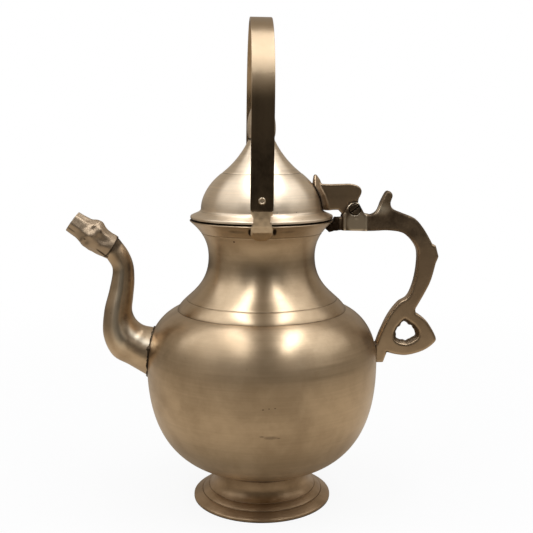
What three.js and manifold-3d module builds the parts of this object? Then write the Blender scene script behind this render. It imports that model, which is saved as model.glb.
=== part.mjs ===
// A lidded kamandal: a turned and brazed brass water vessel with a curved spout, a cast side handle
// that carries the lid's hinge, and a strap bail riveted to two lugs on the neck.
// Millimetres, +Z up. The spout points along -X, the side handle along +X. Every level is a height
// above the table, and every radius is taken from the vessel's own upright axis.

import * as THREE from 'three';
import { mergeVertices } from 'three/addons/utils/BufferGeometryUtils.js';
import Module from 'manifold-3d';

const wasm = await Module();
wasm.setup();

// Fits between pieces
const BRAZE_GAP = 0.3;
const PIN_CLEARANCE = 0.3;
const LID_SEAT_GAP = 0.3;

// Foot
const FOOT_RADIUS = 49.7;
const FOOT_EDGE_HEIGHT = 2;
const FOOT_LAND_WIDTH = 2.4;
const FOOT_STEP_RADIUS = 43.3;
const FOOT_STEP_LEVEL = 5.6;
const FOOT_WAIST_RADIUS = 33.6;
const FOOT_WAIST_LEVEL = 19;
const FOOT_WALL = 2.6;

// Belly
const BELLY_BOTTOM_LEVEL = 19.5;
const BELLY_FOOT_RADIUS = 34.5;
const BELLY_FOOT_LEVEL = 24.6;
const BELLY_RADIUS = 82;
const BELLY_LEVEL = 102;
const BODY_WALL = 1.8;

// Neck and rim
const SEAM_RADIUS = 59.7;
const SEAM_LEVEL = 140;
const SEAM_LAP = 3;
const SHOULDER_LINE_RISE = 7.4;
const TURNED_LINE_DEPTH = 0.5;
const NECK_RADIUS = 37.45;
const NECK_LEVEL = 177.5;
const RIM_RADIUS = 50.4;
const RIM_LEVEL = 203.3;
const RIM_LIP = 0.6;

// Lid, built up from the rim
const LID_FLANGE_SETBACK = 0.5;
const LID_FLANGE_GAP = 1.6;
const LID_FLANGE_EDGE = 2.8;
const LID_FLANGE_LIP = 1.5;
const LID_COLLAR_CLEARANCE = 5.52;
const LID_COLLAR_DEPTH = 4;
const LID_WALL = 1.8;
const DOME_RADIUS = 42.5;
const DOME_BASE_RISE = 7.2;
const DOME_LINE_RADIUS = 27.6;
const DOME_LOWER_HEIGHT = 25.2;
const DOME_TOP_RADIUS = 8.9;
const DOME_UPPER_HEIGHT = 23.1;

// Finial
const FINIAL_RADIUS = 9.9;
const FINIAL_WIDEST_HEIGHT = 8.2;
const FINIAL_HEIGHT = 27.2;
const FINIAL_STEM_RADIUS = 2.6;
const FINIAL_STEM_LENGTH = 5;

// Spout and its cast nozzle
const SPOUT_WALL = 1.9;
const SPOUT_HOLE_RADIUS = 10.5;
const SPOUT_RISE = 7;
const SLEEVE_STEP = 0.6;
const SPIGOT_RADIUS = 6.4;
const SPIGOT_ROOT = 3;
const SPIGOT_LENGTH = 6.5;
const NOZZLE_BORE_RADIUS = 5.2;

// Lid hinge, carried by the handle
const HINGE_OUT = 14.6;
const HINGE_UP = 7;
const HINGE_PIN_RADIUS = 2;
const SCREW_HEAD_RADIUS = 3.6;
const SCREW_HEAD_HEIGHT = 1.6;
const SCREW_SLOT_WIDTH = 1;
const SCREW_SLOT_DEPTH = 0.8;
const SCREW_SLOT_TURN = 0.61;
const EAR_WIDTH = 12;
const EAR_EDGE = 0.8;
const TONGUE_THICKNESS = 4.6;
const TONGUE_EDGE = 0.8;
const KNUCKLE_RADIUS = 4.9;
const KNUCKLE_CLEARANCE = 0.5;

// Handle casting
const HANDLE_PAD_RISE = 4;
const HANDLE_THICKNESS = 9;
const HANDLE_EDGE = 1.2;

// Thumb piece leaf, brazed on the lid
const LEAF_HALF_WIDTH = 12;
const LEAF_EDGE = 1.3;
const LEAF_DROP = 0.6;
const LEAF_HEIGHT = 24.5;
const WEB_TOP_DROP = 6.6;

// Bail, lugs and rivets, built up outwards from the rim
const BAIL_X = -2.2;
const BAIL_LEAN = 0.013;
const BAIL_PIVOT_RISE = 17.2;
const BAIL_LEG = 62.8;
const STRAP_WIDTH = 14.8;
const STRAP_THICKNESS = 2.6;
const STRAP_EDGE = 0.5;
const STRAP_END = 6.8;
const LUG_STANDOFF = 1.3;
const LUG_THICKNESS = 2.4;
const LUG_WIDTH = 14.2;
const LUG_WAIST_WIDTH = 11.2;
const LUG_EDGE = 0.3;
const LUG_EYE_HEIGHT = 6.5;
const LUG_DEPTH = 10.4;
const RIVET_RADIUS = 1.6;
const RIVET_HEAD_RADIUS = 2.3;
const RIVET_HEAD_HEIGHT = 0.6;

// Facets
const TURNED_SIDES = 36;
const SPOUT_SIDES = 16;
const PIN_SIDES = 16;

// Worked out from the sizes above
const SHOULDER_LINE_LEVEL = SEAM_LEVEL + SHOULDER_LINE_RISE;
const MOUTH_RADIUS = RIM_RADIUS - 1.6 * BODY_WALL;
const LID_UNDERSIDE_LEVEL = RIM_LEVEL + LID_SEAT_GAP;
const LID_EDGE_LEVEL = RIM_LEVEL + LID_FLANGE_GAP;
const LID_FLANGE_RADIUS = RIM_RADIUS - LID_FLANGE_SETBACK;
const LID_SEAT_RADIUS = LID_FLANGE_RADIUS - LID_FLANGE_LIP;
const LID_COLLAR_RADIUS = MOUTH_RADIUS - LID_COLLAR_CLEARANCE;
const DOME_LEVEL = RIM_LEVEL + DOME_BASE_RISE;
const DOME_LINE_LEVEL = DOME_LEVEL + DOME_LOWER_HEIGHT;
const DOME_TOP_LEVEL = DOME_LINE_LEVEL + DOME_UPPER_HEIGHT;
const FINIAL_WIDEST_LEVEL = DOME_TOP_LEVEL + FINIAL_WIDEST_HEIGHT;
const FINIAL_TIP_LEVEL = DOME_TOP_LEVEL + FINIAL_HEIGHT;
const SPOUT_LEVEL = BELLY_LEVEL + SPOUT_RISE;
const HANDLE_PAD_LEVEL = BELLY_LEVEL + HANDLE_PAD_RISE;
const HINGE_X = RIM_RADIUS + HINGE_OUT;
const HINGE_Z = RIM_LEVEL + HINGE_UP;
const LEAF_FOOT_LEVEL = DOME_LEVEL - LEAF_DROP;
const LEAF_TIP_LEVEL = LEAF_FOOT_LEVEL + LEAF_HEIGHT;
const LUG_INSIDE = RIM_RADIUS + LUG_STANDOFF;
const LUG_OUTSIDE = LUG_INSIDE + LUG_THICKNESS;
const BAIL_RADIUS = LUG_OUTSIDE + PIN_CLEARANCE + STRAP_THICKNESS;
const BAIL_PIVOT_LEVEL = RIM_LEVEL + BAIL_PIVOT_RISE;
const LUG_TOP_LEVEL = BAIL_PIVOT_LEVEL + LUG_EYE_HEIGHT;
const LUG_FOOT_LEVEL = RIM_LEVEL - LUG_DEPTH;
const FLAT_ANGLE = Math.PI / 2;

// Closed solid from a geometry, with its faces turned outwards
function solidOf(geometry) {
  const bare = geometry.clone();
  bare.deleteAttribute('normal');
  bare.deleteAttribute('uv');
  const merged = mergeVertices(bare, 1e-4);
  const index = merged.index.array;
  const corners = [];
  for (let i = 0; i < index.length; i += 3) {
    const [a, b, c] = [index[i], index[i + 1], index[i + 2]];
    if (a !== b && b !== c && c !== a) {
      corners.push(a, b, c);
    }
  }
  const build = (triangles) => new wasm.Manifold(new wasm.Mesh({
    numProp: 3,
    vertProperties: new Float32Array(merged.attributes.position.array),
    triVerts: new Uint32Array(triangles),
  }));
  const solid = build(corners);
  return solid.volume() > 0 ? solid : build(corners.reverse());
}

function geometryOf(solid) {
  const mesh = solid.getMesh();
  const geometry = new THREE.BufferGeometry();
  geometry.setAttribute('position', new THREE.BufferAttribute(mesh.vertProperties, 3));
  geometry.setIndex(new THREE.BufferAttribute(mesh.triVerts, 1));
  geometry.computeVertexNormals();
  return geometry;
}

// Turned solid from a closed profile of [radius, level] points
function turned(profile, sides = TURNED_SIDES) {
  const points = profile.map(([radius, level]) => new THREE.Vector2(radius, level));
  if (profile[0][0] > 0) {
    points.push(points[0].clone());
  }
  return solidOf(new THREE.LatheGeometry(points, sides).rotateX(FLAT_ANGLE));
}

// Points of a cubic curve in the radius and level plane
function arcPoints(start, pullOut, pullIn, end, steps) {
  const corners = [start, pullOut, pullIn, end].map(([x, y]) => new THREE.Vector2(x, y));
  return new THREE.CubicBezierCurve(...corners).getPoints(steps).map((p) => [p.x, p.y]);
}

// A profile moved square to itself, outwards when the distance is positive
function offsetProfile(profile, distance) {
  return profile.map(([radius, level], i) => {
    const before = profile[Math.max(i - 1, 0)];
    const after = profile[Math.min(i + 1, profile.length - 1)];
    const along = new THREE.Vector2(after[0] - before[0], after[1] - before[1]).normalize();
    return [Math.max(radius + along.y * distance, 0), level - along.x * distance];
  });
}

// Cylinder along Y, from one place to another
function pinAlongY(radius, x, z, fromY, toY, sides = PIN_SIDES) {
  const pin = new THREE.CylinderGeometry(radius, radius, toY - fromY, sides);
  return solidOf(pin.translate(x, (fromY + toY) / 2, z));
}

// Plate cut to an outline in the X and Z plane, centred on Y = 0, with softened edges
function plateAcrossY(outline, thickness, edge, curveSegments) {
  const depth = thickness - 2 * edge;
  const plate = new THREE.ExtrudeGeometry(outline, {
    depth,
    curveSegments,
    bevelEnabled: edge > 0,
    bevelThickness: edge,
    bevelSize: edge,
    bevelOffset: -edge,
    bevelSegments: 1,
  });
  return solidOf(plate.translate(0, 0, -depth / 2).rotateX(FLAT_ANGLE));
}

function plateAcrossX(outline, thickness, edge, curveSegments) {
  return plateAcrossY(outline, thickness, edge, curveSegments).rotate([0, 0, 90]);
}

function shapeThrough(points) {
  return new THREE.Shape(points.map(([x, y]) => new THREE.Vector2(x, y)));
}

function splineTo(path, points) {
  path.splineThru(points.map(([x, y]) => new THREE.Vector2(x, y)));
}

// Solid through a row of rings that have the same number of points
function loft(rings) {
  const count = rings[0].length;
  const positions = rings.flat().flatMap((p) => [p.x, p.y, p.z]);
  const triangles = [];
  for (let ring = 0; ring + 1 < rings.length; ring += 1) {
    for (let i = 0; i < count; i += 1) {
      const [a, b] = [ring * count + i, ring * count + (i + 1) % count];
      triangles.push(a, b, b + count, a, b + count, a + count);
    }
  }
  for (const [ring, isFirst] of [[0, true], [rings.length - 1, false]]) {
    const middle = rings[ring].reduce((sum, p) => sum.add(p), new THREE.Vector3()).divideScalar(count);
    const centre = positions.length / 3;
    positions.push(middle.x, middle.y, middle.z);
    for (let i = 0; i < count; i += 1) {
      const [a, b] = [ring * count + i, ring * count + (i + 1) % count];
      triangles.push(...(isFirst ? [centre, b, a] : [centre, a, b]));
    }
  }
  const geometry = new THREE.BufferGeometry();
  geometry.setAttribute('position', new THREE.Float32BufferAttribute(positions, 3));
  geometry.setIndex(triangles);
  return solidOf(geometry);
}

// Outside of the belly and neck

function bellyOutside() {
  const under = arcPoints([0, BELLY_BOTTOM_LEVEL], [0.37 * BELLY_FOOT_RADIUS, BELLY_BOTTOM_LEVEL],
    [BELLY_FOOT_RADIUS - 9, BELLY_FOOT_LEVEL - 2.2], [BELLY_FOOT_RADIUS, BELLY_FOOT_LEVEL], 3);
  const rise = BELLY_LEVEL - BELLY_FOOT_LEVEL;
  const spread = BELLY_RADIUS - BELLY_FOOT_RADIUS;
  const lower = arcPoints([BELLY_FOOT_RADIUS, BELLY_FOOT_LEVEL],
    [BELLY_FOOT_RADIUS + 0.819 * spread, BELLY_FOOT_LEVEL + 0.118 * rise],
    [BELLY_RADIUS, BELLY_LEVEL - 0.451 * rise], [BELLY_RADIUS, BELLY_LEVEL], 6);
  const shoulderRise = SEAM_LEVEL - BELLY_LEVEL;
  const upper = arcPoints([BELLY_RADIUS, BELLY_LEVEL], [BELLY_RADIUS, BELLY_LEVEL + 0.697 * shoulderRise],
    [SEAM_RADIUS + 0.323 * (BELLY_RADIUS - SEAM_RADIUS), SEAM_LEVEL - 2.5], [SEAM_RADIUS, SEAM_LEVEL], 5);
  return [...under, ...lower.slice(1), ...upper.slice(1)];
}

function neckOutside() {
  const rise = NECK_LEVEL - SEAM_LEVEL;
  const lower = arcPoints([SEAM_RADIUS, SEAM_LEVEL],
    [SEAM_RADIUS - 0.153 * (SEAM_RADIUS - NECK_RADIUS), SEAM_LEVEL + 0.229 * rise],
    [NECK_RADIUS, NECK_LEVEL - 0.624 * rise], [NECK_RADIUS, NECK_LEVEL], 5);
  const flare = RIM_RADIUS - NECK_RADIUS;
  const flareTop = RIM_LEVEL - RIM_LIP;
  const upper = arcPoints([NECK_RADIUS, NECK_LEVEL], [NECK_RADIUS, NECK_LEVEL + 0.585 * (flareTop - NECK_LEVEL)],
    [RIM_RADIUS - 0.29 * flare, flareTop - 0.14 * (flareTop - NECK_LEVEL)], [RIM_RADIUS, flareTop], 5);
  return [...lower, ...upper.slice(1)];
}

// The whole body filled in and grown by a gap, to seat what is brazed on it
function bodyFilled(gap) {
  const outside = offsetProfile([...bellyOutside(), ...neckOutside().slice(1)], gap);
  outside[0][0] = 0;
  return turned([...outside, [RIM_RADIUS + gap, RIM_LEVEL + gap], [0, RIM_LEVEL + gap]]);
}

const bodySeat = bodyFilled(BRAZE_GAP);

// Turned pieces

function footRing() {
  const stepDrop = 0.6;
  const outside = [
    [FOOT_RADIUS, 0],
    [FOOT_RADIUS, FOOT_EDGE_HEIGHT],
    [FOOT_STEP_RADIUS + stepDrop, FOOT_STEP_LEVEL - stepDrop / 2],
    [FOOT_STEP_RADIUS, FOOT_STEP_LEVEL],
    [FOOT_STEP_RADIUS - stepDrop, FOOT_STEP_LEVEL + stepDrop],
    ...arcPoints([FOOT_STEP_RADIUS - 4.9, FOOT_STEP_LEVEL + 3.6],
      [FOOT_WAIST_RADIUS + 2.4, FOOT_STEP_LEVEL + 5.4], [FOOT_WAIST_RADIUS, FOOT_WAIST_LEVEL - 5.5],
      [FOOT_WAIST_RADIUS, FOOT_WAIST_LEVEL], 4),
    [BELLY_FOOT_RADIUS + 1.5, BELLY_FOOT_LEVEL + 2],
  ];
  const inside = [
    [FOOT_WAIST_RADIUS - FOOT_WALL, BELLY_FOOT_LEVEL + 2],
    [FOOT_WAIST_RADIUS - FOOT_WALL, FOOT_WAIST_LEVEL - 5],
    [FOOT_STEP_RADIUS - 5, FOOT_STEP_LEVEL - 1],
    [FOOT_RADIUS - FOOT_LAND_WIDTH, FOOT_EDGE_HEIGHT / 2],
    [FOOT_RADIUS - FOOT_LAND_WIDTH, 0],
  ];
  return turned([...outside, ...inside]).subtract(bodySeat);
}

function bellyShell() {
  const outside = bellyOutside();
  const mouth = SEAM_RADIUS - 1.4 * BODY_WALL;
  const inside = offsetProfile(outside, -BODY_WALL).filter(([, level]) => level < SEAM_LEVEL - BODY_WALL);
  inside[0] = [0, BELLY_BOTTOM_LEVEL + BODY_WALL];
  const shell = turned([...outside, [mouth, SEAM_LEVEL], ...inside.reverse()]);
  const drill = new THREE.CylinderGeometry(SPOUT_HOLE_RADIUS, SPOUT_HOLE_RADIUS, 30, PIN_SIDES);
  drill.rotateZ(FLAT_ANGLE).translate(-BELLY_RADIUS, 0, SPOUT_LEVEL);
  return shell.subtract(solidOf(drill));
}

function neckShell() {
  const outside = neckOutside();
  const lap = SEAM_RADIUS - 1.4 * BODY_WALL - BRAZE_GAP;
  const line = outside.findIndex(([, level]) => level > SHOULDER_LINE_LEVEL);
  const [below, above] = [outside[line - 1], outside[line]];
  const share = (SHOULDER_LINE_LEVEL - below[1]) / (above[1] - below[1]);
  const lineRadius = below[0] + share * (above[0] - below[0]);
  const groove = [-1, 0, 1].map((side) => [
    lineRadius - side * TURNED_LINE_DEPTH - (side ? 0 : TURNED_LINE_DEPTH),
    SHOULDER_LINE_LEVEL + side * TURNED_LINE_DEPTH,
  ]);
  const grooved = [...outside.slice(0, line), ...groove, ...outside.slice(line)];
  const inside = offsetProfile(outside, -BODY_WALL).filter(([, level]) => level > SEAM_LEVEL + BODY_WALL);
  const lapInside = [lap - BODY_WALL, SEAM_LEVEL + BODY_WALL - 0.2];
  return turned([
    ...grooved,
    [RIM_RADIUS - RIM_LIP, RIM_LEVEL],
    [MOUTH_RADIUS, RIM_LEVEL],
    ...inside.reverse().slice(1),
    lapInside,
    [lap - BODY_WALL, SEAM_LEVEL - SEAM_LAP],
    [lap, SEAM_LEVEL - SEAM_LAP],
    [lap, SEAM_LEVEL],
  ]);
}

// Lid

function domeOutside() {
  const rise = DOME_LINE_LEVEL - DOME_LEVEL;
  const lower = arcPoints([DOME_RADIUS, DOME_LEVEL], [DOME_RADIUS, DOME_LEVEL + 0.31 * rise],
    [DOME_LINE_RADIUS + 10.3, DOME_LINE_LEVEL - 7.8], [DOME_LINE_RADIUS, DOME_LINE_LEVEL], 4);
  const upper = arcPoints([DOME_LINE_RADIUS, DOME_LINE_LEVEL], [DOME_LINE_RADIUS - 8, DOME_LINE_LEVEL + 6],
    [DOME_TOP_RADIUS + 3.9, DOME_TOP_LEVEL - 8.5], [DOME_TOP_RADIUS, DOME_TOP_LEVEL], 4);
  return [...lower, ...upper.slice(1)];
}

function lidOutside() {
  return [
    [LID_FLANGE_RADIUS - 0.3, LID_EDGE_LEVEL],
    [LID_FLANGE_RADIUS, LID_EDGE_LEVEL + LID_FLANGE_EDGE / 2],
    [LID_FLANGE_RADIUS - 0.5, LID_EDGE_LEVEL + LID_FLANGE_EDGE],
    [DOME_RADIUS + 1.6, DOME_LEVEL - 1.3],
    ...domeOutside(),
  ];
}

function lidDome() {
  const inside = offsetProfile(domeOutside(), -LID_WALL).filter(([radius]) => radius > DOME_TOP_RADIUS);
  const stemHole = FINIAL_STEM_RADIUS + PIN_CLEARANCE;
  const crownUnderside = DOME_TOP_LEVEL - 1.5 * LID_WALL;
  const collarInside = LID_COLLAR_RADIUS - LID_WALL;
  return turned([
    ...lidOutside(),
    [stemHole, DOME_TOP_LEVEL],
    [stemHole, crownUnderside],
    [DOME_TOP_RADIUS - LID_WALL, crownUnderside],
    ...inside.reverse(),
    [collarInside, LID_UNDERSIDE_LEVEL - LID_COLLAR_DEPTH],
    [LID_COLLAR_RADIUS, LID_UNDERSIDE_LEVEL - LID_COLLAR_DEPTH],
    [LID_COLLAR_RADIUS, LID_UNDERSIDE_LEVEL],
    [LID_SEAT_RADIUS, LID_UNDERSIDE_LEVEL],
    [LID_SEAT_RADIUS, LID_EDGE_LEVEL],
  ]);
}

function lidFinial() {
  const shoulder = arcPoints([DOME_TOP_RADIUS - 0.4, DOME_TOP_LEVEL], [FINIAL_RADIUS, DOME_TOP_LEVEL + 3],
    [FINIAL_RADIUS, FINIAL_WIDEST_LEVEL - 3], [FINIAL_RADIUS, FINIAL_WIDEST_LEVEL], 4);
  const crown = arcPoints([FINIAL_RADIUS, FINIAL_WIDEST_LEVEL], [FINIAL_RADIUS, FINIAL_WIDEST_LEVEL + 9],
    [FINIAL_RADIUS * 0.55, FINIAL_TIP_LEVEL], [0, FINIAL_TIP_LEVEL], 7);
  return turned([
    [0, DOME_TOP_LEVEL - FINIAL_STEM_LENGTH],
    [FINIAL_STEM_RADIUS, DOME_TOP_LEVEL - FINIAL_STEM_LENGTH],
    [FINIAL_STEM_RADIUS, DOME_TOP_LEVEL],
    ...shoulder,
    ...crown.slice(1),
  ], TURNED_SIDES / 2);
}

// Spout, drawn as two rails in the X and Z plane: the edge over it and the edge under it. Each point
// is the way out from the belly's side and the way up from the middle of the spout's root.

const SPOUT_OVER = [
  [-6, 16.9], [2.5, 19], [7.3, 23.2], [9.8, 29.5], [8.8, 40], [7.7, 51], [8.3, 63], [11.6, 72],
];
const SPOUT_UNDER = [
  [0.6, -16.6], [12.5, -9.4], [24, -2.5], [30.4, 11.5], [29.7, 29], [25.4, 45.5], [22.9, 57.5], [23.2, 61.5],
];
const NOZZLE_OVER = [[18.1, 82.2], [24.5, 87.8], [29.6, 94.3], [36, 94.9], [44.9, 99.8]];
const NOZZLE_UNDER = [[26.8, 66.7], [36.3, 71.5], [43.1, 75.6], [46.1, 80.1], [54.3, 87]];

// The tube stops short of the nozzle by the brazing gap, and its wall is set in behind the sleeve
function tubeEnd(ownRail, otherRail) {
  const [own, other] = [ownRail[0], otherRail[0]].map(([out, up]) => new THREE.Vector2(out, up));
  const inward = other.clone().sub(own).normalize();
  const onward = new THREE.Vector2(-inward.y, inward.x);
  onward.multiplyScalar(Math.sign(onward.x));
  const end = own.addScaledVector(inward, SLEEVE_STEP).addScaledVector(onward, -BRAZE_GAP);
  return [end.x, end.y];
}

function railCurve(points) {
  const onRail = points.map(([out, up]) => new THREE.Vector3(-BELLY_RADIUS - out, 0, SPOUT_LEVEL + up));
  return new THREE.CatmullRomCurve3(onRail, false, 'centripetal');
}

// Rings between two rails: each is round about the middle of the line that joins them. The shrink
// takes a wall off, and the shape gives the radius round the ring, 1 for a circle.
function railRings(over, under, steps, sides, shrink, shape) {
  const [overRail, underRail] = [railCurve(over), railCurve(under)];
  return Array.from({ length: steps + 1 }, (unused, step) => {
    const t = step / steps;
    const top = overRail.getPoint(t);
    const bottom = underRail.getPoint(t);
    const middle = top.clone().add(bottom).divideScalar(2);
    const radius = top.distanceTo(bottom) / 2 - shrink;
    const upright = top.clone().sub(bottom).normalize();
    return Array.from({ length: sides }, (unusedSide, side) => {
      const turn = 2 * Math.PI * side / sides;
      const reach = radius * shape(t, turn);
      return middle.clone().addScaledVector(upright, reach * Math.cos(turn))
        .add(new THREE.Vector3(0, reach * Math.sin(turn), 0));
    });
  });
}

// Frame of the joint between spout and nozzle: its middle, and the way on along the nozzle
const nozzleStart = {
  over: railCurve(NOZZLE_OVER).getPoint(0),
  under: railCurve(NOZZLE_UNDER).getPoint(0),
};
nozzleStart.middle = nozzleStart.over.clone().add(nozzleStart.under).divideScalar(2);
const nozzleTip = railCurve(NOZZLE_OVER).getPoint(1).add(railCurve(NOZZLE_UNDER).getPoint(1)).divideScalar(2);
nozzleStart.onward = nozzleTip.clone().sub(nozzleStart.middle).normalize();
nozzleStart.square = nozzleStart.over.clone().sub(nozzleStart.under).normalize()
  .cross(new THREE.Vector3(0, -1, 0));

// Round bar along the nozzle, from one distance past the joint to another
function barAtNozzle(radius, from, to, direction) {
  const bar = new THREE.CylinderGeometry(radius, radius, to - from, SPOUT_SIDES);
  bar.translate(0, (from + to) / 2, 0);
  const turn = new THREE.Quaternion().setFromUnitVectors(new THREE.Vector3(0, 1, 0), direction);
  bar.applyQuaternion(turn).translate(nozzleStart.middle.x, 0, nozzleStart.middle.z);
  return solidOf(bar);
}

function spoutTube() {
  const round = () => 1;
  const over = [...SPOUT_OVER, tubeEnd(NOZZLE_OVER, NOZZLE_UNDER)];
  const under = [...SPOUT_UNDER, tubeEnd(NOZZLE_UNDER, NOZZLE_OVER)];
  const outside = loft(railRings(over, under, 14, SPOUT_SIDES, 0, round));
  const bore = loft(railRings(over, under, 14, SPOUT_SIDES, SPOUT_WALL, round).slice(0, -1));
  const spigot = barAtNozzle(SPIGOT_RADIUS, -SPIGOT_ROOT, SPIGOT_LENGTH, nozzleStart.square);
  const spigotBore = barAtNozzle(SPIGOT_RADIUS - SPOUT_WALL, -4 * SPIGOT_ROOT, SPIGOT_LENGTH + 1,
    nozzleStart.square);
  return outside.add(spigot).subtract(bore).subtract(spigotBore).subtract(bodySeat);
}

// The nozzle has eight hollow-ground faces, deepest between the points of its collar
function nozzleShape(t, turn) {
  const collar = Math.exp(-(((t - 0.5) / 0.16) ** 2));
  const behind = Math.exp(-(((t - 0.27) / 0.12) ** 2));
  const hollow = 0.03 + 0.05 * t + 0.07 * collar + 0.05 * behind;
  return 1 - hollow * (1 - Math.cos(8 * turn)) / 2;
}

function spoutNozzle() {
  const outside = loft(railRings(NOZZLE_OVER, NOZZLE_UNDER, 12, 32, 0, nozzleShape));
  const socket = barAtNozzle(SPIGOT_RADIUS + BRAZE_GAP, -4, SPIGOT_LENGTH + BRAZE_GAP, nozzleStart.square);
  const bore = barAtNozzle(NOZZLE_BORE_RADIUS, 0, 60, nozzleStart.onward);
  return outside.subtract(socket).subtract(bore);
}

// Handle

function handleOutline() {
  const [neck, side, top, pad] = [RIM_RADIUS, BELLY_RADIUS, RIM_LEVEL, HANDLE_PAD_LEVEL];
  const outline = new THREE.Shape();
  outline.moveTo(neck + 0.7, top + 1.1);
  outline.lineTo(neck + 0.6, top - 1.6);
  outline.lineTo(neck - 10, top - 4.8);
  outline.lineTo(neck - 5.6, top - 6.4);
  splineTo(outline, [
    [neck - 3.4, top - 8.6], [neck - 1.8, top - 8.9], [neck + 3.6, top - 7.9], [neck + 14, top - 8],
    [neck + 26, top - 8.6], [side + 8, top - 8.3], [side + 19, top - 10.7], [side + 26.8, top - 18.7],
    [side + 29, top - 27.3], [side + 27.4, pad + 54.5], [side + 22.9, pad + 42], [side + 16, pad + 37],
    [side + 9.2, pad + 28.2], [side + 3.6, pad + 16.5], [side + 0.4, pad + 7.6],
  ]);
  outline.lineTo(side - 5, pad + 6);
  outline.lineTo(side - 5, pad - 6.7);
  outline.lineTo(side + 5.6, pad - 6.7);
  outline.lineTo(side + 8.2, pad + 0.8);
  splineTo(outline, [
    [side + 15, pad - 1], [side + 23.5, pad - 1.5], [side + 34.6, pad + 1.6], [side + 42.4, pad + 7.2],
    [side + 43.4, pad + 12], [side + 36.4, pad + 23.6], [side + 28.6, pad + 29.6],
  ]);
  outline.lineTo(side + 28.2, pad + 32.2);
  splineTo(outline, [[side + 37.9, pad + 50.6], [side + 42, top - 32]]);
  outline.lineTo(side + 43.9, top - 27.2);
  outline.lineTo(side + 41.7, top - 19.2);
  outline.lineTo(side + 39.2, top - 18);
  splineTo(outline, [
    [side + 33.1, top - 7.7], [side + 26.4, top], [side + 17.5, top + 3.9], [side + 10.4, top + 7.1],
    [side + 8.6, top + 11.1], [side + 10, top + 16.2], [side + 8.4, top + 19.1], [side + 5.7, top + 19],
    [side + 2.2, top + 12.7], [side - 0.6, top + 5.8], [side - 4.5, top + 3.2], [side - 8, top + 3.7],
  ]);
  outline.lineTo(HINGE_X, HINGE_Z - KNUCKLE_RADIUS - KNUCKLE_CLEARANCE);
  return outline;
}

// The open loop low on the handle
function loopHole() {
  const [side, pad] = [BELLY_RADIUS, HANDLE_PAD_LEVEL];
  const hole = new THREE.Path();
  hole.moveTo(side + 20.5, pad + 25.3);
  splineTo(hole, [
    [side + 26.5, pad + 21.3], [side + 31, pad + 15.6], [side + 29, pad + 10], [side + 22.5, pad + 7.2],
    [side + 16, pad + 8.4], [side + 12.8, pad + 13.6], [side + 15.4, pad + 20.2], [side + 20.5, pad + 25.3],
  ]);
  return hole;
}

function earOutline() {
  return shapeThrough([
    [HINGE_X - 8.6, RIM_LEVEL - 7.9], [HINGE_X + 9.2, RIM_LEVEL - 8.4], [HINGE_X + 9.2, HINGE_Z - 4.7],
    [HINGE_X + 6.4, HINGE_Z - 2.1], [HINGE_X + 2.7, HINGE_Z + 4.6], [HINGE_X - 2.2, HINGE_Z + 4.4],
    [HINGE_X - 5, HINGE_Z + 2.3], [HINGE_X - 8.6, HINGE_Z - 4.8],
  ]);
}

function handle() {
  const outline = handleOutline();
  outline.holes.push(loopHole());
  const casting = plateAcrossY(outline, HANDLE_THICKNESS, HANDLE_EDGE, 2);
  const ears = plateAcrossY(earOutline(), EAR_WIDTH, EAR_EDGE, 1);
  const slotWidth = TONGUE_THICKNESS + 2 * PIN_CLEARANCE;
  const slotFloor = HINGE_Z - KNUCKLE_RADIUS - KNUCKLE_CLEARANCE;
  const slot = new THREE.BoxGeometry(24, slotWidth, 20).translate(HINGE_X, 0, slotFloor + 10);
  const pinHole = pinAlongY(HINGE_PIN_RADIUS + PIN_CLEARANCE, HINGE_X, HINGE_Z, -EAR_WIDTH, EAR_WIDTH);
  const recessDepth = SCREW_HEAD_HEIGHT + PIN_CLEARANCE;
  const recess = pinAlongY(SCREW_HEAD_RADIUS + PIN_CLEARANCE, HINGE_X, HINGE_Z,
    -EAR_WIDTH, recessDepth - EAR_WIDTH / 2);
  return casting.add(ears).subtract(solidOf(slot)).subtract(pinHole).subtract(recess).subtract(bodySeat);
}

function hingeScrew() {
  const face = -EAR_WIDTH / 2;
  const shank = pinAlongY(HINGE_PIN_RADIUS, HINGE_X, HINGE_Z, face + 1, -face);
  const head = pinAlongY(SCREW_HEAD_RADIUS, HINGE_X, HINGE_Z, face, face + SCREW_HEAD_HEIGHT);
  const slot = new THREE.BoxGeometry(4 * SCREW_HEAD_RADIUS, SCREW_SLOT_DEPTH, SCREW_SLOT_WIDTH);
  slot.rotateY(-SCREW_SLOT_TURN).translate(HINGE_X, face + SCREW_SLOT_DEPTH / 2, HINGE_Z);
  return head.add(shank).subtract(solidOf(slot));
}

// Thumb piece: a web that turns between the ears, and a ridged leaf that lies on the dome

function thumbWeb() {
  const [x, z] = [HINGE_X, HINGE_Z];
  const web = new THREE.Shape();
  web.moveTo(DOME_RADIUS - 1, LEAF_TIP_LEVEL - WEB_TOP_DROP);
  web.lineTo(x - 16, z + 17.3);
  splineTo(web, [
    [x - 8, z + 17.5], [x - 2.2, z + 17.5], [x + 2.6, z + 16.2],
    [x + 5, z + 13.6], [x + 5, z + 10.6], [x + 3.2, z + 7],
  ]);
  web.absarc(x, z, KNUCKLE_RADIUS, 0.94, -2.6, true);
  web.lineTo(x - 8.2, z - 3.6);
  web.lineTo(x - 11, z - 0.7);
  web.lineTo(DOME_RADIUS + 1, z - 0.8);
  return plateAcrossY(web, TONGUE_THICKNESS, TONGUE_EDGE, 3);
}

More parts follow.
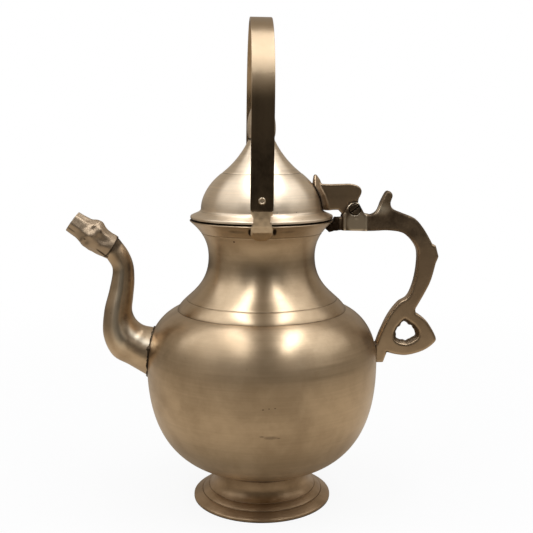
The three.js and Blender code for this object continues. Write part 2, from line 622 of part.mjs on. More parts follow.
// The leaf's rings run up the dome. Each is a flat crescent: its back on the lid, its front a ridge.
function thumbLeaf() {
  const across = 6;
  const rise = LEAF_TIP_LEVEL - LEAF_FOOT_LEVEL;
  const stations = [
    { up: 0, back: DOME_RADIUS, ridge: 6.8, width: 0.8 },
    { up: 0.15, back: DOME_RADIUS, ridge: 5.6, width: 1 },
    { up: 0.42, back: DOME_RADIUS - 2.2, ridge: 5.4, width: 0.94 },
    { up: 0.66, back: DOME_RADIUS - 5.2, ridge: 5.8, width: 0.72 },
    { up: 0.85, back: DOME_RADIUS - 5.5, ridge: 4.6, width: 0.42 },
    { up: 0.96, back: DOME_RADIUS - 5.6, ridge: 2.8, width: 0.2 },
    { up: 1, back: DOME_RADIUS - 5.2, ridge: 1.6, width: 0.08 },
  ];
  return loft(stations.map(({ up, back, ridge, width }) => {
    const level = LEAF_FOOT_LEVEL + rise * up;
    const half = LEAF_HALF_WIDTH * width;
    const place = (share, depth) => {
      const y = half * share;
      return new THREE.Vector3(Math.sqrt(back * back - y * y) - 0.4 + depth, y, level);
    };
    const shares = Array.from({ length: across + 1 }, (unused, i) => 2 * i / across - 1);
    const edge = Math.min(LEAF_EDGE, ridge);
    const front = shares.map((share) => place(share, edge + (ridge - edge) * (1 - Math.abs(share)) ** 1.4));
    const rear = shares.map((share) => place(share, 0)).reverse();
    return [...front, ...rear];
  }));
}

function thumbPiece() {
  const lidSeat = turned([
    ...offsetProfile(lidOutside(), BRAZE_GAP),
    [0, DOME_TOP_LEVEL + BRAZE_GAP],
    [0, LID_EDGE_LEVEL - 1],
    [LID_FLANGE_RADIUS, LID_EDGE_LEVEL - 1],
  ]);
  const pinHole = pinAlongY(HINGE_PIN_RADIUS + PIN_CLEARANCE, HINGE_X, HINGE_Z, -EAR_WIDTH, EAR_WIDTH);
  return thumbWeb().add(thumbLeaf()).subtract(lidSeat).subtract(pinHole);
}

// Bail, drawn about its pivot

function bailStrap() {
  const inside = BAIL_RADIUS - STRAP_THICKNESS;
  const arch = new THREE.Shape();
  arch.moveTo(BAIL_RADIUS, -STRAP_END);
  arch.absarc(0, BAIL_LEG, BAIL_RADIUS, 0, Math.PI, false);
  arch.lineTo(-BAIL_RADIUS, -STRAP_END);
  arch.lineTo(-inside, -STRAP_END);
  arch.absarc(0, BAIL_LEG, inside, Math.PI, 0, true);
  arch.lineTo(inside, -STRAP_END);
  const strap = plateAcrossX(arch, STRAP_WIDTH, STRAP_EDGE, 20);
  const holes = pinAlongY(RIVET_RADIUS + PIN_CLEARANCE, 0, 0, -2 * BAIL_RADIUS, 2 * BAIL_RADIUS);
  return strap.subtract(holes);
}

// A lug is a bent strip: its side view gives the bend, its front view the waist and round ends
function lugSideView() {
  const bend = RIM_LEVEL + 2.4;
  return shapeThrough([
    [LUG_INSIDE, LUG_TOP_LEVEL], [LUG_INSIDE, RIM_LEVEL + 0.6], [NECK_RADIUS, RIM_LEVEL - 4],
    [NECK_RADIUS, LUG_FOOT_LEVEL], [NECK_RADIUS + 6.4, LUG_FOOT_LEVEL],
    [RIM_RADIUS + 0.9, RIM_LEVEL - 3.6], [LUG_OUTSIDE, bend - 0.8], [LUG_OUTSIDE, LUG_TOP_LEVEL],
  ]);
}

function lugFrontView() {
  const [half, waist] = [LUG_WIDTH / 2, LUG_WAIST_WIDTH / 2];
  const oneSide = [
    [0.5 * half, LUG_TOP_LEVEL - 0.5], [0.8 * half, LUG_TOP_LEVEL - 1.8], [half, LUG_TOP_LEVEL - 5],
    [half, LUG_TOP_LEVEL - 15], [waist, RIM_LEVEL + 6], [waist, RIM_LEVEL + 3], [half, RIM_LEVEL + 0.4],
    [half, LUG_FOOT_LEVEL + 5], [0.75 * half, LUG_FOOT_LEVEL + 1.8], [0.4 * half, LUG_FOOT_LEVEL + 0.4],
  ];
  const otherSide = oneSide.map(([x, level]) => [-x, level]).reverse();
  return shapeThrough([[0, LUG_TOP_LEVEL], ...oneSide, [0, LUG_FOOT_LEVEL], ...otherSide]);
}

function bailLug(sideOfY) {
  const bent = plateAcrossX(lugSideView(), LUG_WIDTH, LUG_EDGE, 1);
  const trimmed = bent.intersect(plateAcrossY(lugFrontView(), 4 * BAIL_RADIUS, 0, 1));
  const hole = pinAlongY(RIVET_RADIUS + PIN_CLEARANCE, 0, BAIL_PIVOT_LEVEL, 0, 2 * BAIL_RADIUS);
  const seat = bodySeat.translate([-BAIL_X, 0, 0]);
  const lug = trimmed.subtract(hole).subtract(seat);
  return sideOfY > 0 ? lug : lug.mirror([0, 1, 0]);
}

function bailRivet(sideOfY) {
  const inner = LUG_INSIDE - PIN_CLEARANCE;
  const outer = BAIL_RADIUS + PIN_CLEARANCE;
  const shank = pinAlongY(RIVET_RADIUS, 0, 0, inner - RIVET_HEAD_HEIGHT / 2, outer + RIVET_HEAD_HEIGHT / 2);
  const outerHead = pinAlongY(RIVET_HEAD_RADIUS, 0, 0, outer, outer + RIVET_HEAD_HEIGHT);
  const innerHead = pinAlongY(RIVET_HEAD_RADIUS, 0, 0, inner - RIVET_HEAD_HEIGHT, inner);
  const rivet = shank.add(outerHead).add(innerHead);
  return sideOfY > 0 ? rivet : rivet.mirror([0, 1, 0]);
}

// Assembly

const BRASS = { color: 0x94805f, roughness: 0.4, metalness: 0.9 };
const DARK_BRASS = { color: 0x5a4733, roughness: 0.45, metalness: 0.85 };
const PEENED_BRASS = { color: 0x6f6440, roughness: 0.5, metalness: 0.85 };

function piece(name, solid, finish) {
  const mesh = new THREE.Mesh(geometryOf(solid), new THREE.MeshStandardMaterial(finish));
  mesh.name = name;
  return mesh;
}

const vessel = new THREE.Group();
vessel.add(
  piece('foot_ring', footRing(), BRASS),
  piece('belly_shell', bellyShell(), BRASS),
  piece('neck_shell', neckShell(), BRASS),
  piece('spout_tube', spoutTube(), BRASS),
  piece('spout_nozzle', spoutNozzle(), BRASS),
  piece('handle', handle(), BRASS),
  piece('hinge_screw', hingeScrew(), DARK_BRASS),
);

const lid = new THREE.Group();
lid.add(
  piece('lid_dome', lidDome(), BRASS),
  piece('lid_finial', lidFinial(), BRASS),
  piece('thumb_piece', thumbPiece(), DARK_BRASS),
);

const bailFixings = new THREE.Group();
bailFixings.position.set(BAIL_X, 0, 0);
for (const [name, sideOfY] of [['front', -1], ['rear', 1]]) {
  bailFixings.add(piece(`bail_lug_${name}`, bailLug(sideOfY), BRASS));
  const rivet = piece(`bail_rivet_${name}`, bailRivet(sideOfY), PEENED_BRASS);
  rivet.position.z = BAIL_PIVOT_LEVEL;
  bailFixings.add(rivet);
}

const bail = new THREE.Group();
bail.position.set(BAIL_X, 0, BAIL_PIVOT_LEVEL);
bail.rotation.y = BAIL_LEAN;
bail.add(piece('bail_strap', bailStrap(), BRASS));

const kamandal = new THREE.Group();
kamandal.add(vessel, lid, bailFixings, bail);

// The origin is on the table under the middle of the outline, between nozzle tip and handle loop
const outlineBox = new THREE.Box3().setFromObject(kamandal);
kamandal.position.x = -(outlineBox.min.x + outlineBox.max.x) / 2;
kamandal.updateMatrixWorld(true);

export default kamandal;
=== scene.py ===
"""The looks of a brass kamandal: a turned vessel with a bent spout, a cast side handle, a hinged lid
and a strap bail. Lengths in the tables below are millimetres from the vessel's upright axis and from
the table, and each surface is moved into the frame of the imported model, in metres, when it is made."""

import functools
import math

import bpy
import numpy as np
from mathutils import Matrix, Vector


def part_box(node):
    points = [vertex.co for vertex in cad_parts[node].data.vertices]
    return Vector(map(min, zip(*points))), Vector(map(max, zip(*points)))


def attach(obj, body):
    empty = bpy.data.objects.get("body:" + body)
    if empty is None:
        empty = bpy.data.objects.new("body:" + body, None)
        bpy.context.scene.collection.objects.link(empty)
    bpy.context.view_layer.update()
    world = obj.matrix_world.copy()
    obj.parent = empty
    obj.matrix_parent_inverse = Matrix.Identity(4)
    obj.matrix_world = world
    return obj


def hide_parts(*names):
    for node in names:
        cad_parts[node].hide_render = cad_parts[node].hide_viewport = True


MM = 0.001

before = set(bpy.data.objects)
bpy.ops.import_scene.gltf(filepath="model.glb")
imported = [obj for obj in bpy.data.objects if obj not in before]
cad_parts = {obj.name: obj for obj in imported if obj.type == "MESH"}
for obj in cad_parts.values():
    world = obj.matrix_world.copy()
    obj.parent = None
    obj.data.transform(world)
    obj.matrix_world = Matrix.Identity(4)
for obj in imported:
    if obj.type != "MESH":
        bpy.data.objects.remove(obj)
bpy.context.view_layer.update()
neck_low, neck_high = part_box("neck_shell")
AXIS_X = (neck_low.x + neck_high.x) / 2

# Sizes

WALL = 1.8
BELLY_UNDER = [(0, 19.5), (12.8, 19.5), (25.5, 22.4), (34.5, 24.6)]
BELLY_LOWER = [(34.5, 24.6), (73.4, 33.7), (82, 67.1), (82, 102)]
BELLY_UPPER = [(82, 102), (82, 128.5), (66.9, 137.5), (59.7, 140)]
NECK_LOWER = [(59.7, 140), (56.3, 148.6), (37.45, 154.1), (37.45, 177.5)]
NECK_UPPER = [(37.45, 177.5), (37.45, 192.2), (46.6, 199.1), (50.4, 202.7)]
DOME_LOWER = [(42.5, 210.5), (42.5, 218.3), (37.9, 227.9), (27.6, 235.7)]
DOME_UPPER = [(27.6, 235.7), (19.6, 241.7), (12.8, 250.3), (8.9, 258.8)]
FINIAL_LOWER = [(8.5, 258.8), (9.9, 261.8), (9.9, 264), (9.9, 267)]
FINIAL_UPPER = [(9.9, 267), (9.9, 276), (5.4, 286), (0, 286)]
SEAM_RADIUS = 59.7
SEAM_LEVEL = 140.0
SHOULDER_LINE_LEVEL = 147.4
NECK_LINE_LEVEL = 194.6
RIM_LEVEL = 203.3
RIM_RADIUS = 50.4
FOOT_RADIUS = 34.3
FOOT_TOP = 24.4
FOOT_STEP = (43.3, 5.4)
FOOT_LINE = (38.5, 8.8)
BRIM_CORNER = (43.1, 209.6)
DOME_LINE_LEVEL = 235.7
DOME_TOP = 258.8
BELLY_SIDE = 82.0
SPOUT_LEVEL = 109.0
PAD_LEVEL = 106.0
HINGE_X = 65.0
HINGE_Z = 210.3
HINGE = (HINGE_X, HINGE_Z)
EAR_HALF = 6.0
BRAZE_X = 56.5
BRAZE_LEVEL = 190.0
BAIL_X = -2.2
BAIL_LEAN = 0.013
BAIL_PIVOT = 220.5
PIVOT = (BAIL_X, BAIL_PIVOT)
BAIL_LEG = 62.8
BAIL_RADIUS = 57.0
STRAP_WIDTH = 14.8
STRAP_THICKNESS = 2.6

SPOUT_OVER = [(-6, 16.9), (2.5, 19), (7.3, 23.2), (9.8, 29.5), (8.8, 40), (7.7, 51), (8.3, 63),
              (11.6, 72), (18.2, 81.4)]
SPOUT_UNDER = [(0.6, -16.6), (12.5, -9.4), (24, -2.5), (30.4, 11.5), (29.7, 29), (25.4, 45.5),
               (22.9, 57.5), (23.2, 61.5), (26.3, 67.1)]
NOZZLE_OVER = [(18.1, 82.2), (24.5, 87.8), (29.6, 94.3), (36, 94.9), (44.9, 99.8)]
NOZZLE_UNDER = [(26.8, 66.7), (36.3, 71.5), (43.1, 75.6), (46.1, 80.1), (54.3, 87)]


# Curves and profiles

def unit(values):
    """The values, held between zero and one."""
    return np.clip(values, 0, 1)


def greatest(*values):
    """The greatest of the values at each point. Of fields, it is what is inside every one."""
    return functools.reduce(np.maximum, values)


def bell(distance, reach):
    """One at no distance, falling off on both sides of it: exp(-(distance / reach)^2)."""
    return np.exp(-(distance / reach) ** 2)


def beyond(distance, reach):
    """As a bell, with one everywhere before its middle: grime that fills a corner, say."""
    return bell(np.maximum(distance, 0), reach)


def turns(count):
    """Evenly spaced angles once round."""
    return 2 * np.pi * np.arange(count) / count


def lengths(points):
    """The length of the line up to each of its points."""
    return np.concatenate([[0], np.cumsum(np.linalg.norm(np.diff(points, axis=0), axis=1))])


def directions(vectors):
    """The vectors, each brought to a length of one."""
    return vectors / np.linalg.norm(vectors, axis=1)[:, None]


def bezier(corners, steps=24):
    """Cubic curve: the four corners weighted by (1-t)^3, 3t(1-t)^2, 3t^2(1-t) and t^3."""
    t = np.linspace(0, 1, steps + 1)[:, None]
    weights = np.hstack([(1 - t) ** 3, 3 * t * (1 - t) ** 2, 3 * t ** 2 * (1 - t), t ** 3])
    return weights @ np.array(corners, float)


def join(*runs):
    """Runs of points end to end, without the point that two runs share."""
    points = np.vstack([np.array(run, float).reshape(-1, 2) for run in runs])
    keep = np.ones(len(points), bool)
    keep[1:] = np.linalg.norm(np.diff(points, axis=0), axis=1) > 1e-4
    return points[keep]


def offset_inwards(points, distance):
    """The curve moved square to itself: each point plus the tangent turned by a right angle."""
    tangent = directions(np.gradient(points, axis=0))
    return points + distance * np.stack([-tangent[:, 1], tangent[:, 0]], 1)


def groove(points, level, depth, half_width):
    """A turned line: the radius drops by depth times a cosine bell about one level. The curve gets
    eight more points there, on its own line, to carry the bell."""
    at = level + half_width * np.linspace(-1, 1, 9)
    order = np.argsort(points[:, 1])
    more = np.stack([np.interp(at, points[order, 1], points[order, 0]), at], 1)
    clear = np.abs(points[:, 1] - level) > half_width
    sunk = np.vstack([points[clear], more])
    rank = np.concatenate([np.flatnonzero(clear).astype(float), np.interp(at, points[order, 1], order)])
    sunk = sunk[np.argsort(rank, kind="stable")]
    gap = unit(np.abs(sunk[:, 1] - level) / half_width)
    sunk[:, 0] -= depth * (1 + np.cos(np.pi * gap)) / 2
    return sunk


def cubic(b, c, slope_b, slope_c, t):
    """The cubic from b to c with the given slopes at its ends."""
    return ((2 * b - 2 * c + slope_b + slope_c) * t ** 3
            + (3 * c - 3 * b - 2 * slope_b - slope_c) * t ** 2 + slope_b * t + b)


def spline(points, per_span=8):
    """Smooth line through the points: on each span a cubic whose end slopes are half the way from
    the point before to the point after."""
    p = np.array(points, float)
    p = np.vstack([p[:1], p, p[-1:]])
    t = np.linspace(0, 1, per_span, endpoint=False)[None, :, None]
    a, b, c, d = (p[i:len(p) - 3 + i, None, :] for i in range(4))
    line = cubic(b, c, (c - a) / 2, (d - b) / 2, t)
    return np.vstack([line.reshape(-1, p.shape[1]), p[-1:]])


def rail(points, samples):
    """Centripetal smooth line through the points, sampled evenly in span number, as the CAD rails."""
    p = np.array(points, float)
    p = np.vstack([2 * p[0] - p[1], p, 2 * p[-1] - p[-2]])
    at = np.linspace(0, len(points) - 1, samples)
    span = np.minimum(at.astype(int), len(points) - 2)
    t = (at - span)[:, None]
    a, b, c, d = (p[span + i] for i in range(4))
    step = [np.linalg.norm(second - first, axis=1)[:, None] ** 0.5
            for first, second in ((a, b), (b, c), (c, d))]
    slope_b = ((b - a) / step[0] - (c - a) / (step[0] + step[1]) + (c - b) / step[1]) * step[1]
    slope_c = ((c - b) / step[1] - (d - b) / (step[1] + step[2]) + (d - c) / step[2]) * step[1]
    return cubic(b, c, slope_b, slope_c, t)


def ripple(x, y, z, size):
    """Uneven hand work: a sum of three products of sines of about the given size."""
    k = 2 * np.pi / size
    return (np.sin(k * x + 1.3) * np.sin(0.83 * k * y + 0.4) * np.sin(0.91 * k * z + 2.1)
            + 0.6 * np.sin(1.7 * k * (x + z) + 0.9) * np.sin(1.9 * k * (y - z) + 1.7)
            + 0.4 * np.sin(2.9 * k * (y + x) + 0.2) * np.sin(3.1 * k * z + 0.6))


body_outside = join(bezier(BELLY_LOWER, 60), bezier(BELLY_UPPER, 30), bezier(NECK_LOWER, 40),
                    bezier(NECK_UPPER, 30))


def body_radius(level):
    """The body's outer radius at a level, and zero above the rim."""
    radius = np.interp(level, body_outside[:, 1], body_outside[:, 0])
    return np.where(level > RIM_LEVEL, 0, radius)


def off_body(x, y, z):
    """How far outside the body a point is, along its radius."""
    return np.hypot(x, y) - body_radius(z)


def away(x, z, centre):
    """How far a point is from a centre, in the plane of the two."""
    return np.hypot(x - centre[0], z - centre[1])


# Meshes

def placed(name, data):
    """A new object with the given mesh, lamp or camera, in the scene."""
    made = bpy.data.objects.new(name, data)
    bpy.context.scene.collection.objects.link(made)
    return made


def make_piece(name, points, faces, body, nodes, material, sharp, uv, values):
    """Mesh from points in millimetres about the vessel's axis, in its place in the frame. Edges are
    sharp above an angle in degrees, and each value is an attribute of the points."""
    mesh = bpy.data.meshes.new(name)
    mesh.from_pydata(np.asarray(points, float) * MM + np.array([AXIS_X, 0, 0]), [], faces)
    mesh.update()
    mesh.polygons.foreach_set("use_smooth", np.ones(len(mesh.polygons), bool))
    mesh.set_sharp_from_angle(angle=math.radians(sharp))
    if uv is not None:
        layer = mesh.uv_layers.new(name="brushing")
        layer.data.foreach_set("uv", np.asarray(uv, np.float32).ravel())
    for key, data in values.items():
        attribute = mesh.attributes.new(key, "FLOAT", "POINT")
        attribute.data.foreach_set("value", np.asarray(data, np.float32))
    mesh.materials.append(material)
    piece = placed(name, mesh)
    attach(piece, body)
    if nodes:
        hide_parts(*nodes)


def grid_faces(rows, columns, closed_rows, closed_columns):
    """Quads of a grid of points, with the row and column of each quad's four corners."""
    i, j = np.meshgrid(np.arange(rows if closed_rows else rows - 1),
                       np.arange(columns if closed_columns else columns - 1), indexing="ij")
    corner_rows = np.stack([i, i, i + 1, i + 1], -1).reshape(-1, 4)
    corner_columns = np.stack([j, j + 1, j + 1, j], -1).reshape(-1, 4)
    faces = (corner_rows % rows) * columns + corner_columns % columns
    return faces, corner_rows, corner_columns


def turned(name, profile, body, node_name, material, sides, grime_and_shade):
    """Surface of revolution: a closed profile of radius and level carried round the upright axis.
    A point is (r cos a, r sin a, level). A profile that touches the axis is closed by its poles. The grime
    and painted shade are a rule for the points, their radius and their level."""
    profile = np.array(profile, float)
    poles = profile[0, 0] < 1e-6 and profile[-1, 0] < 1e-6
    ring = profile[1:-1] if poles else profile
    angle = turns(sides)
    points = np.stack([np.outer(ring[:, 0], np.cos(angle)), np.outer(ring[:, 0], np.sin(angle)),
                       np.repeat(ring[:, 1:], sides, 1)], -1).reshape(-1, 3)
    faces, rows, columns = grid_faces(len(ring), sides, not poles, True)
    along = lengths(ring)
    along_closed = np.append(along, along[-1] + np.linalg.norm(ring[0] - ring[-1]))
    uv = np.stack([columns / sides, along_closed[rows] * MM], -1).reshape(-1, 2)
    faces = faces.tolist()
    stations = np.repeat(along, sides)
    if poles:
        count = len(points)
        points = np.vstack([points, [[0, 0, profile[0, 1]], [0, 0, profile[-1, 1]]]])
        stations = np.append(stations, [0, along[-1]])
        last = (len(ring) - 1) * sides
        here = np.arange(sides)
        after = (here + 1) % sides
        pole = np.full(sides, count)
        fans = np.stack([pole, after, here, pole + 1, last + here, last + after], 1).reshape(-1, 3)
        faces += fans.tolist()
        uv = np.vstack([uv, np.tile([[0.5, 0.0], [1.0, 0.0], [0.0, 0.0]], (2 * sides, 1))])
    radius = np.hypot(points[:, 0], points[:, 1])
    values = {"across": stations * MM, "grime_and_shade": grime_and_shade(points, radius, points[:, 2])}
    make_piece(name, points, faces, body, [node_name], material, 40.0, uv, values)


def outline_distance(x, z, outline):
    """Signed distance from each point to a closed outline, below zero inside it: the least distance
    to its edges, with its sign from the number of edges that a line to the right crosses."""
    x, z = np.broadcast_arrays(x, z)
    least = np.full(x.shape, 1e9)
    crossings = np.zeros(x.shape, int)
    for (ax, az), (bx, bz) in zip(outline, np.roll(outline, -1, 0)):
        ex, ez = bx - ax, bz - az
        share = unit(((x - ax) * ex + (z - az) * ez) / max(ex * ex + ez * ez, 1e-12))
        least = np.minimum(least, np.hypot(x - ax - share * ex, z - az - share * ez))
        if ez != 0:
            spans = (az > z) != (bz > z)
            crossings += spans & (x < ax + (z - az) * ex / ez)
    return np.where(crossings % 2 == 1, -least, least)


def rounded_plate(side, across, half, edge):
    """Plate between two faces with round edges: the length of the two overruns, less the edge."""
    u, v = side + edge, np.abs(across) - half + edge
    return np.hypot(np.maximum(u, 0), np.maximum(v, 0)) + np.minimum(np.maximum(u, v), 0) - edge


def soft_union(a, b, blend):
    """The lesser of two fields, with a fillet: min less blend times a parabola where they are near."""
    near = unit(1 - np.abs(a - b) / blend)
    return np.minimum(a, b) - blend * near ** 2 / 4


def soft_cut(a, b, blend):
    """What is inside the first field and outside the second, with a soft edge."""
    return -soft_union(-a, b, blend)


def skin(field, low, spacing):
    """The surface where a field on a grid crosses zero. Each cell that it crosses gets one point,
    the mean of the crossings on its edges, and each crossed edge gets the quad of its four cells."""
    shape = np.array(field.shape)
    cells = shape - 1
    total = np.zeros((*cells, 3))
    count = np.zeros(cells)
    crossed_edges = []
    for axis in range(3):
        first = np.take(field, range(shape[axis] - 1), axis)
        second = np.take(field, range(1, shape[axis]), axis)
        crossed = (first < 0) != (second < 0)
        share = np.where(crossed, first / np.where(crossed, first - second, 1), 0)
        place = np.stack(np.indices(first.shape), -1).astype(float)
        place[..., axis] += share
        others = [a for a in range(3) if a != axis]
        for shift in ((0, 0), (0, 1), (1, 0), (1, 1)):
            window = [slice(None)] * 3
            for other, by in zip(others, shift):
                window[other] = slice(by, by + cells[other])
            window = tuple(window)
            total += np.where(crossed[window][..., None], place[window], 0)
            count += crossed[window]
        crossed_edges.append((axis, crossed, first < 0))
    used = count > 0
    number = np.full(cells, -1)
    number[used] = np.arange(used.sum())
    points = low + spacing * total[used] / count[used][:, None]
    faces = []
    for axis, crossed, outwards in crossed_edges:
        u, v = (axis + 1) % 3, (axis + 2) % 3
        inner = [slice(None)] * 3
        inner[u], inner[v] = slice(1, -1), slice(1, -1)
        where = np.argwhere(crossed[tuple(inner)])
        where[:, u] += 1
        where[:, v] += 1
        direct = outwards[tuple(where.T)]
        quad = []
        for back_u, back_v in ((1, 1), (0, 1), (0, 0), (1, 0)):
            cell = where.copy()
            cell[:, u] -= back_u
            cell[:, v] -= back_v
            quad.append(number[tuple(cell.T)])
        quad = np.stack(quad, 1)
        faces.append(np.where(direct[:, None], quad, quad[:, ::-1]))
    return points, np.vstack(faces)


def relaxed(points, faces, rounds):
    """Each point moved half the way to the mean of its faces' centres, a number of times."""
    corners = faces.ravel()
    count = np.bincount(corners, minlength=len(points))[:, None]
    for _ in range(rounds):
        centres = np.repeat(points[faces].mean(1), 4, 0)
        total = np.stack([np.bincount(corners, centres[:, axis], len(points)) for axis in range(3)], 1)
        points = (points + total / count) / 2
    return points


def cast(name, rule, low, high, spacing, body, node_name, material, values, rounds=2):
    """A cast or filed piece: the skin of a field that the rule gives for x, y and z. Each value is a
    rule for the points."""
    low, high = np.array(low, float), np.array(high, float)
    axes = [np.arange(a, b + spacing, spacing) for a, b in zip(low, high)]
    x, y, z = np.meshgrid(*axes, indexing="ij", sparse=True)
    points, faces = skin(rule(x, y, z) + 0 * (x + y + z), low, spacing)
    points = relaxed(points, faces, rounds)
    given = {key: value(points) for key, value in values.items()}
    given["across"] = points[:, 2] * MM
    make_piece(name, points, faces, body, [node_name], material, 180.0, None, given)


# Materials

class Graph:
    """A node tree, with short ways to add a shader node by its kind. A value that a node is given is
    either the output that feeds it or a plain number, colour or vector."""

    def __init__(self, tree):
        self.tree = tree

    def node(self, kind, inputs=None, **settings):
        made = self.tree.nodes.new("ShaderNode" + kind)
        for key, value in settings.items():
            setattr(made, key, value)
        for key, value in (inputs or {}).items():
            if isinstance(value, bpy.types.NodeSocket):
                self.tree.links.new(value, made.inputs[key])
            else:
                made.inputs[key].default_value = value
        return made

    def feed(self, inputs, values):
        for key, value in values.items():
            self.tree.links.new(value, inputs[key])

    def math(self, operation, a, b=0.0, clamp=False):
        return self.node("Math", {0: a, 1: b}, operation=operation, use_clamp=clamp).outputs[0]

    def plus(self, a, b):
        return self.math("ADD", a, b)

    def minus(self, a, b):
        return self.math("SUBTRACT", a, b)

    def times(self, a, b):
        return self.math("MULTIPLY", a, b)

    def most(self, a, b):
        return self.math("MAXIMUM", a, b)

    def weigh(self, a, b, share):
        """The first value's share, and the second's for the rest."""
        return self.plus(self.times(a, share), self.times(b, 1 - share))

    def length(self, vector):
        return self.node("VectorMath", {0: vector}, operation="LENGTH").outputs["Value"]

    def split(self, vector):
        return self.node("SeparateXYZ", {"Vector": vector}).outputs

    def span(self, value, low, high, to_low=0.0, to_high=1.0):
        """The value's place between two limits, eased, as a number between two others."""
        limits = {"Value": value, "From Min": low, "From Max": high, "To Min": to_low, "To Max": to_high}
        made = self.node("MapRange", limits, interpolation_type="SMOOTHSTEP")
        return made.outputs["Result"]

    def mix(self, share, a, b):
        return self.node("Mix", {0: share, 6: a, 7: b}, data_type="RGBA").outputs[2]

    def blend(self, share, a, b):
        return self.node("Mix", {0: share, 2: a, 3: b}, data_type="FLOAT").outputs[0]

    def noise(self, place, scale, detail, roughness, distortion=0.0):
        return self.node("TexNoise", {"Vector": place, "Scale": scale, "Detail": detail,
                                      "Roughness": roughness, "Distortion": distortion}).outputs["Fac"]

    def attribute(self, name):
        return self.node("Attribute", attribute_name=name).outputs["Fac"]

    def place(self):
        return self.node("TexCoord").outputs["Object"]


def wear_and_painted_light_group():
    """Brushed and handled metal. Lines run along the brushing, patches dull it, grime and painted shade
    darken the corners, hollows and shadowed places, painted highlights brighten it, and small pits are
    scattered over it."""
    group = bpy.data.node_groups.new("wear_and_painted_light", "ShaderNodeTree")
    for way, kind, names in (
            ("INPUT", "NodeSocketVector", ["Place"]),
            ("INPUT", "NodeSocketColor", ["Bright", "Dull", "Tarnish_and_shade_colour"]),
            ("INPUT", "NodeSocketFloat", ["Across", "Grime_and_shade_share", "Patches", "Lines", "Smooth", "Rough", "Pits",
                                          "Painted_highlight_share"]),
            ("OUTPUT", "NodeSocketColor", ["Color"]),
            ("OUTPUT", "NodeSocketFloat", ["Roughness", "Height"])):
        for name in names:
            group.interface.new_socket(name, in_out=way, socket_type=kind)
    g = Graph(group)
    given = group.nodes.new("NodeGroupInput").outputs
    result = group.nodes.new("NodeGroupOutput").inputs
    place = g.split(given["Place"])

    def drawn_out(along, across, detail, roughness):
        """Noise that changes slowly along the brushing and fast across it."""
        stretched = g.node("CombineXYZ", {
            "X": g.times(place["X"], along), "Y": g.times(place["Y"], along),
            "Z": g.times(given["Across"], across)}).outputs[0]
        return g.noise(stretched, 1.0, detail, roughness)

    lines = g.weigh(drawn_out(12.0, 620.0, 5.0, 0.7), drawn_out(9.0, 170.0, 2.0, 0.5), 0.62)
    broad = g.noise(given["Place"], 17.0, 4.0, 0.55, 0.6)
    fine = g.noise(given["Place"], 70.0, 6.0, 0.65, 0.3)

    cells = g.node("TexVoronoi", {"Vector": given["Place"], "Scale": 130.0, "Randomness": 1.0}).outputs
    chosen = g.node("SeparateColor", {"Color": cells["Color"]}).outputs["Red"]
    pit = g.times(g.span(cells["Distance"], 0.05, 0.14, 1, 0), g.span(chosen, 0.86, 0.9))
    # grime and painted shade, made ragged, with the pits
    ragged = g.times(given["Grime_and_shade_share"], g.plus(0.55, g.times(fine, 0.9)))
    dirt_and_shade = g.most(g.span(ragged, 0.22, 0.9), g.times(pit, given["Pits"]))

    dull_share = g.times(g.span(g.weigh(broad, fine, 0.65), 0.38, 0.64), given["Patches"])
    colour = g.mix(dull_share, given["Bright"], given["Dull"])
    tone = g.plus(1.0, g.times(g.minus(lines, 0.5), given["Lines"]))
    toned = g.node("VectorMath", {0: colour, "Scale": tone}, operation="SCALE").outputs[0]
    # painted highlight: the colour goes towards a pale tan where the piece asks for it
    toned = g.mix(given["Painted_highlight_share"], toned, PAINTED_HIGHLIGHT_TAN)

    worn_share = g.plus(g.span(fine, 0.3, 0.7, 0, 0.05), g.span(g.weigh(broad, lines, 0.6), 0.35, 0.65))
    rough = g.blend(worn_share, given["Smooth"], given["Rough"])
    height = g.plus(g.times(lines, given["Lines"]), g.times(fine, 0.25))
    # grime and painted shade darken the colour towards the dark tarnish colour
    g.feed(result, {"Color": g.mix(dirt_and_shade, toned, given["Tarnish_and_shade_colour"]),
                    "Roughness": g.math("ADD", rough, g.times(dirt_and_shade, 0.3), True),
                    "Height": g.minus(height, g.times(dirt_and_shade, 0.8))})
    return group


def spot(g, place, centre, radii, strength):
    """A mark at one place: its strength at the centre of an egg-shaped space, falling to nothing at
    its surface. The centre and the radii are millimetres in the sizes' own frame."""
    mapping = g.node("Mapping", {"Vector": place}, vector_type="TEXTURE")
    mapping.inputs["Location"].default_value = (centre[0] * MM + AXIS_X, centre[1] * MM, centre[2] * MM)
    mapping.inputs["Scale"].default_value = [radius * MM for radius in radii]
    return g.span(g.length(mapping.outputs[0]), 0.2, 1.0, strength, 0.0)


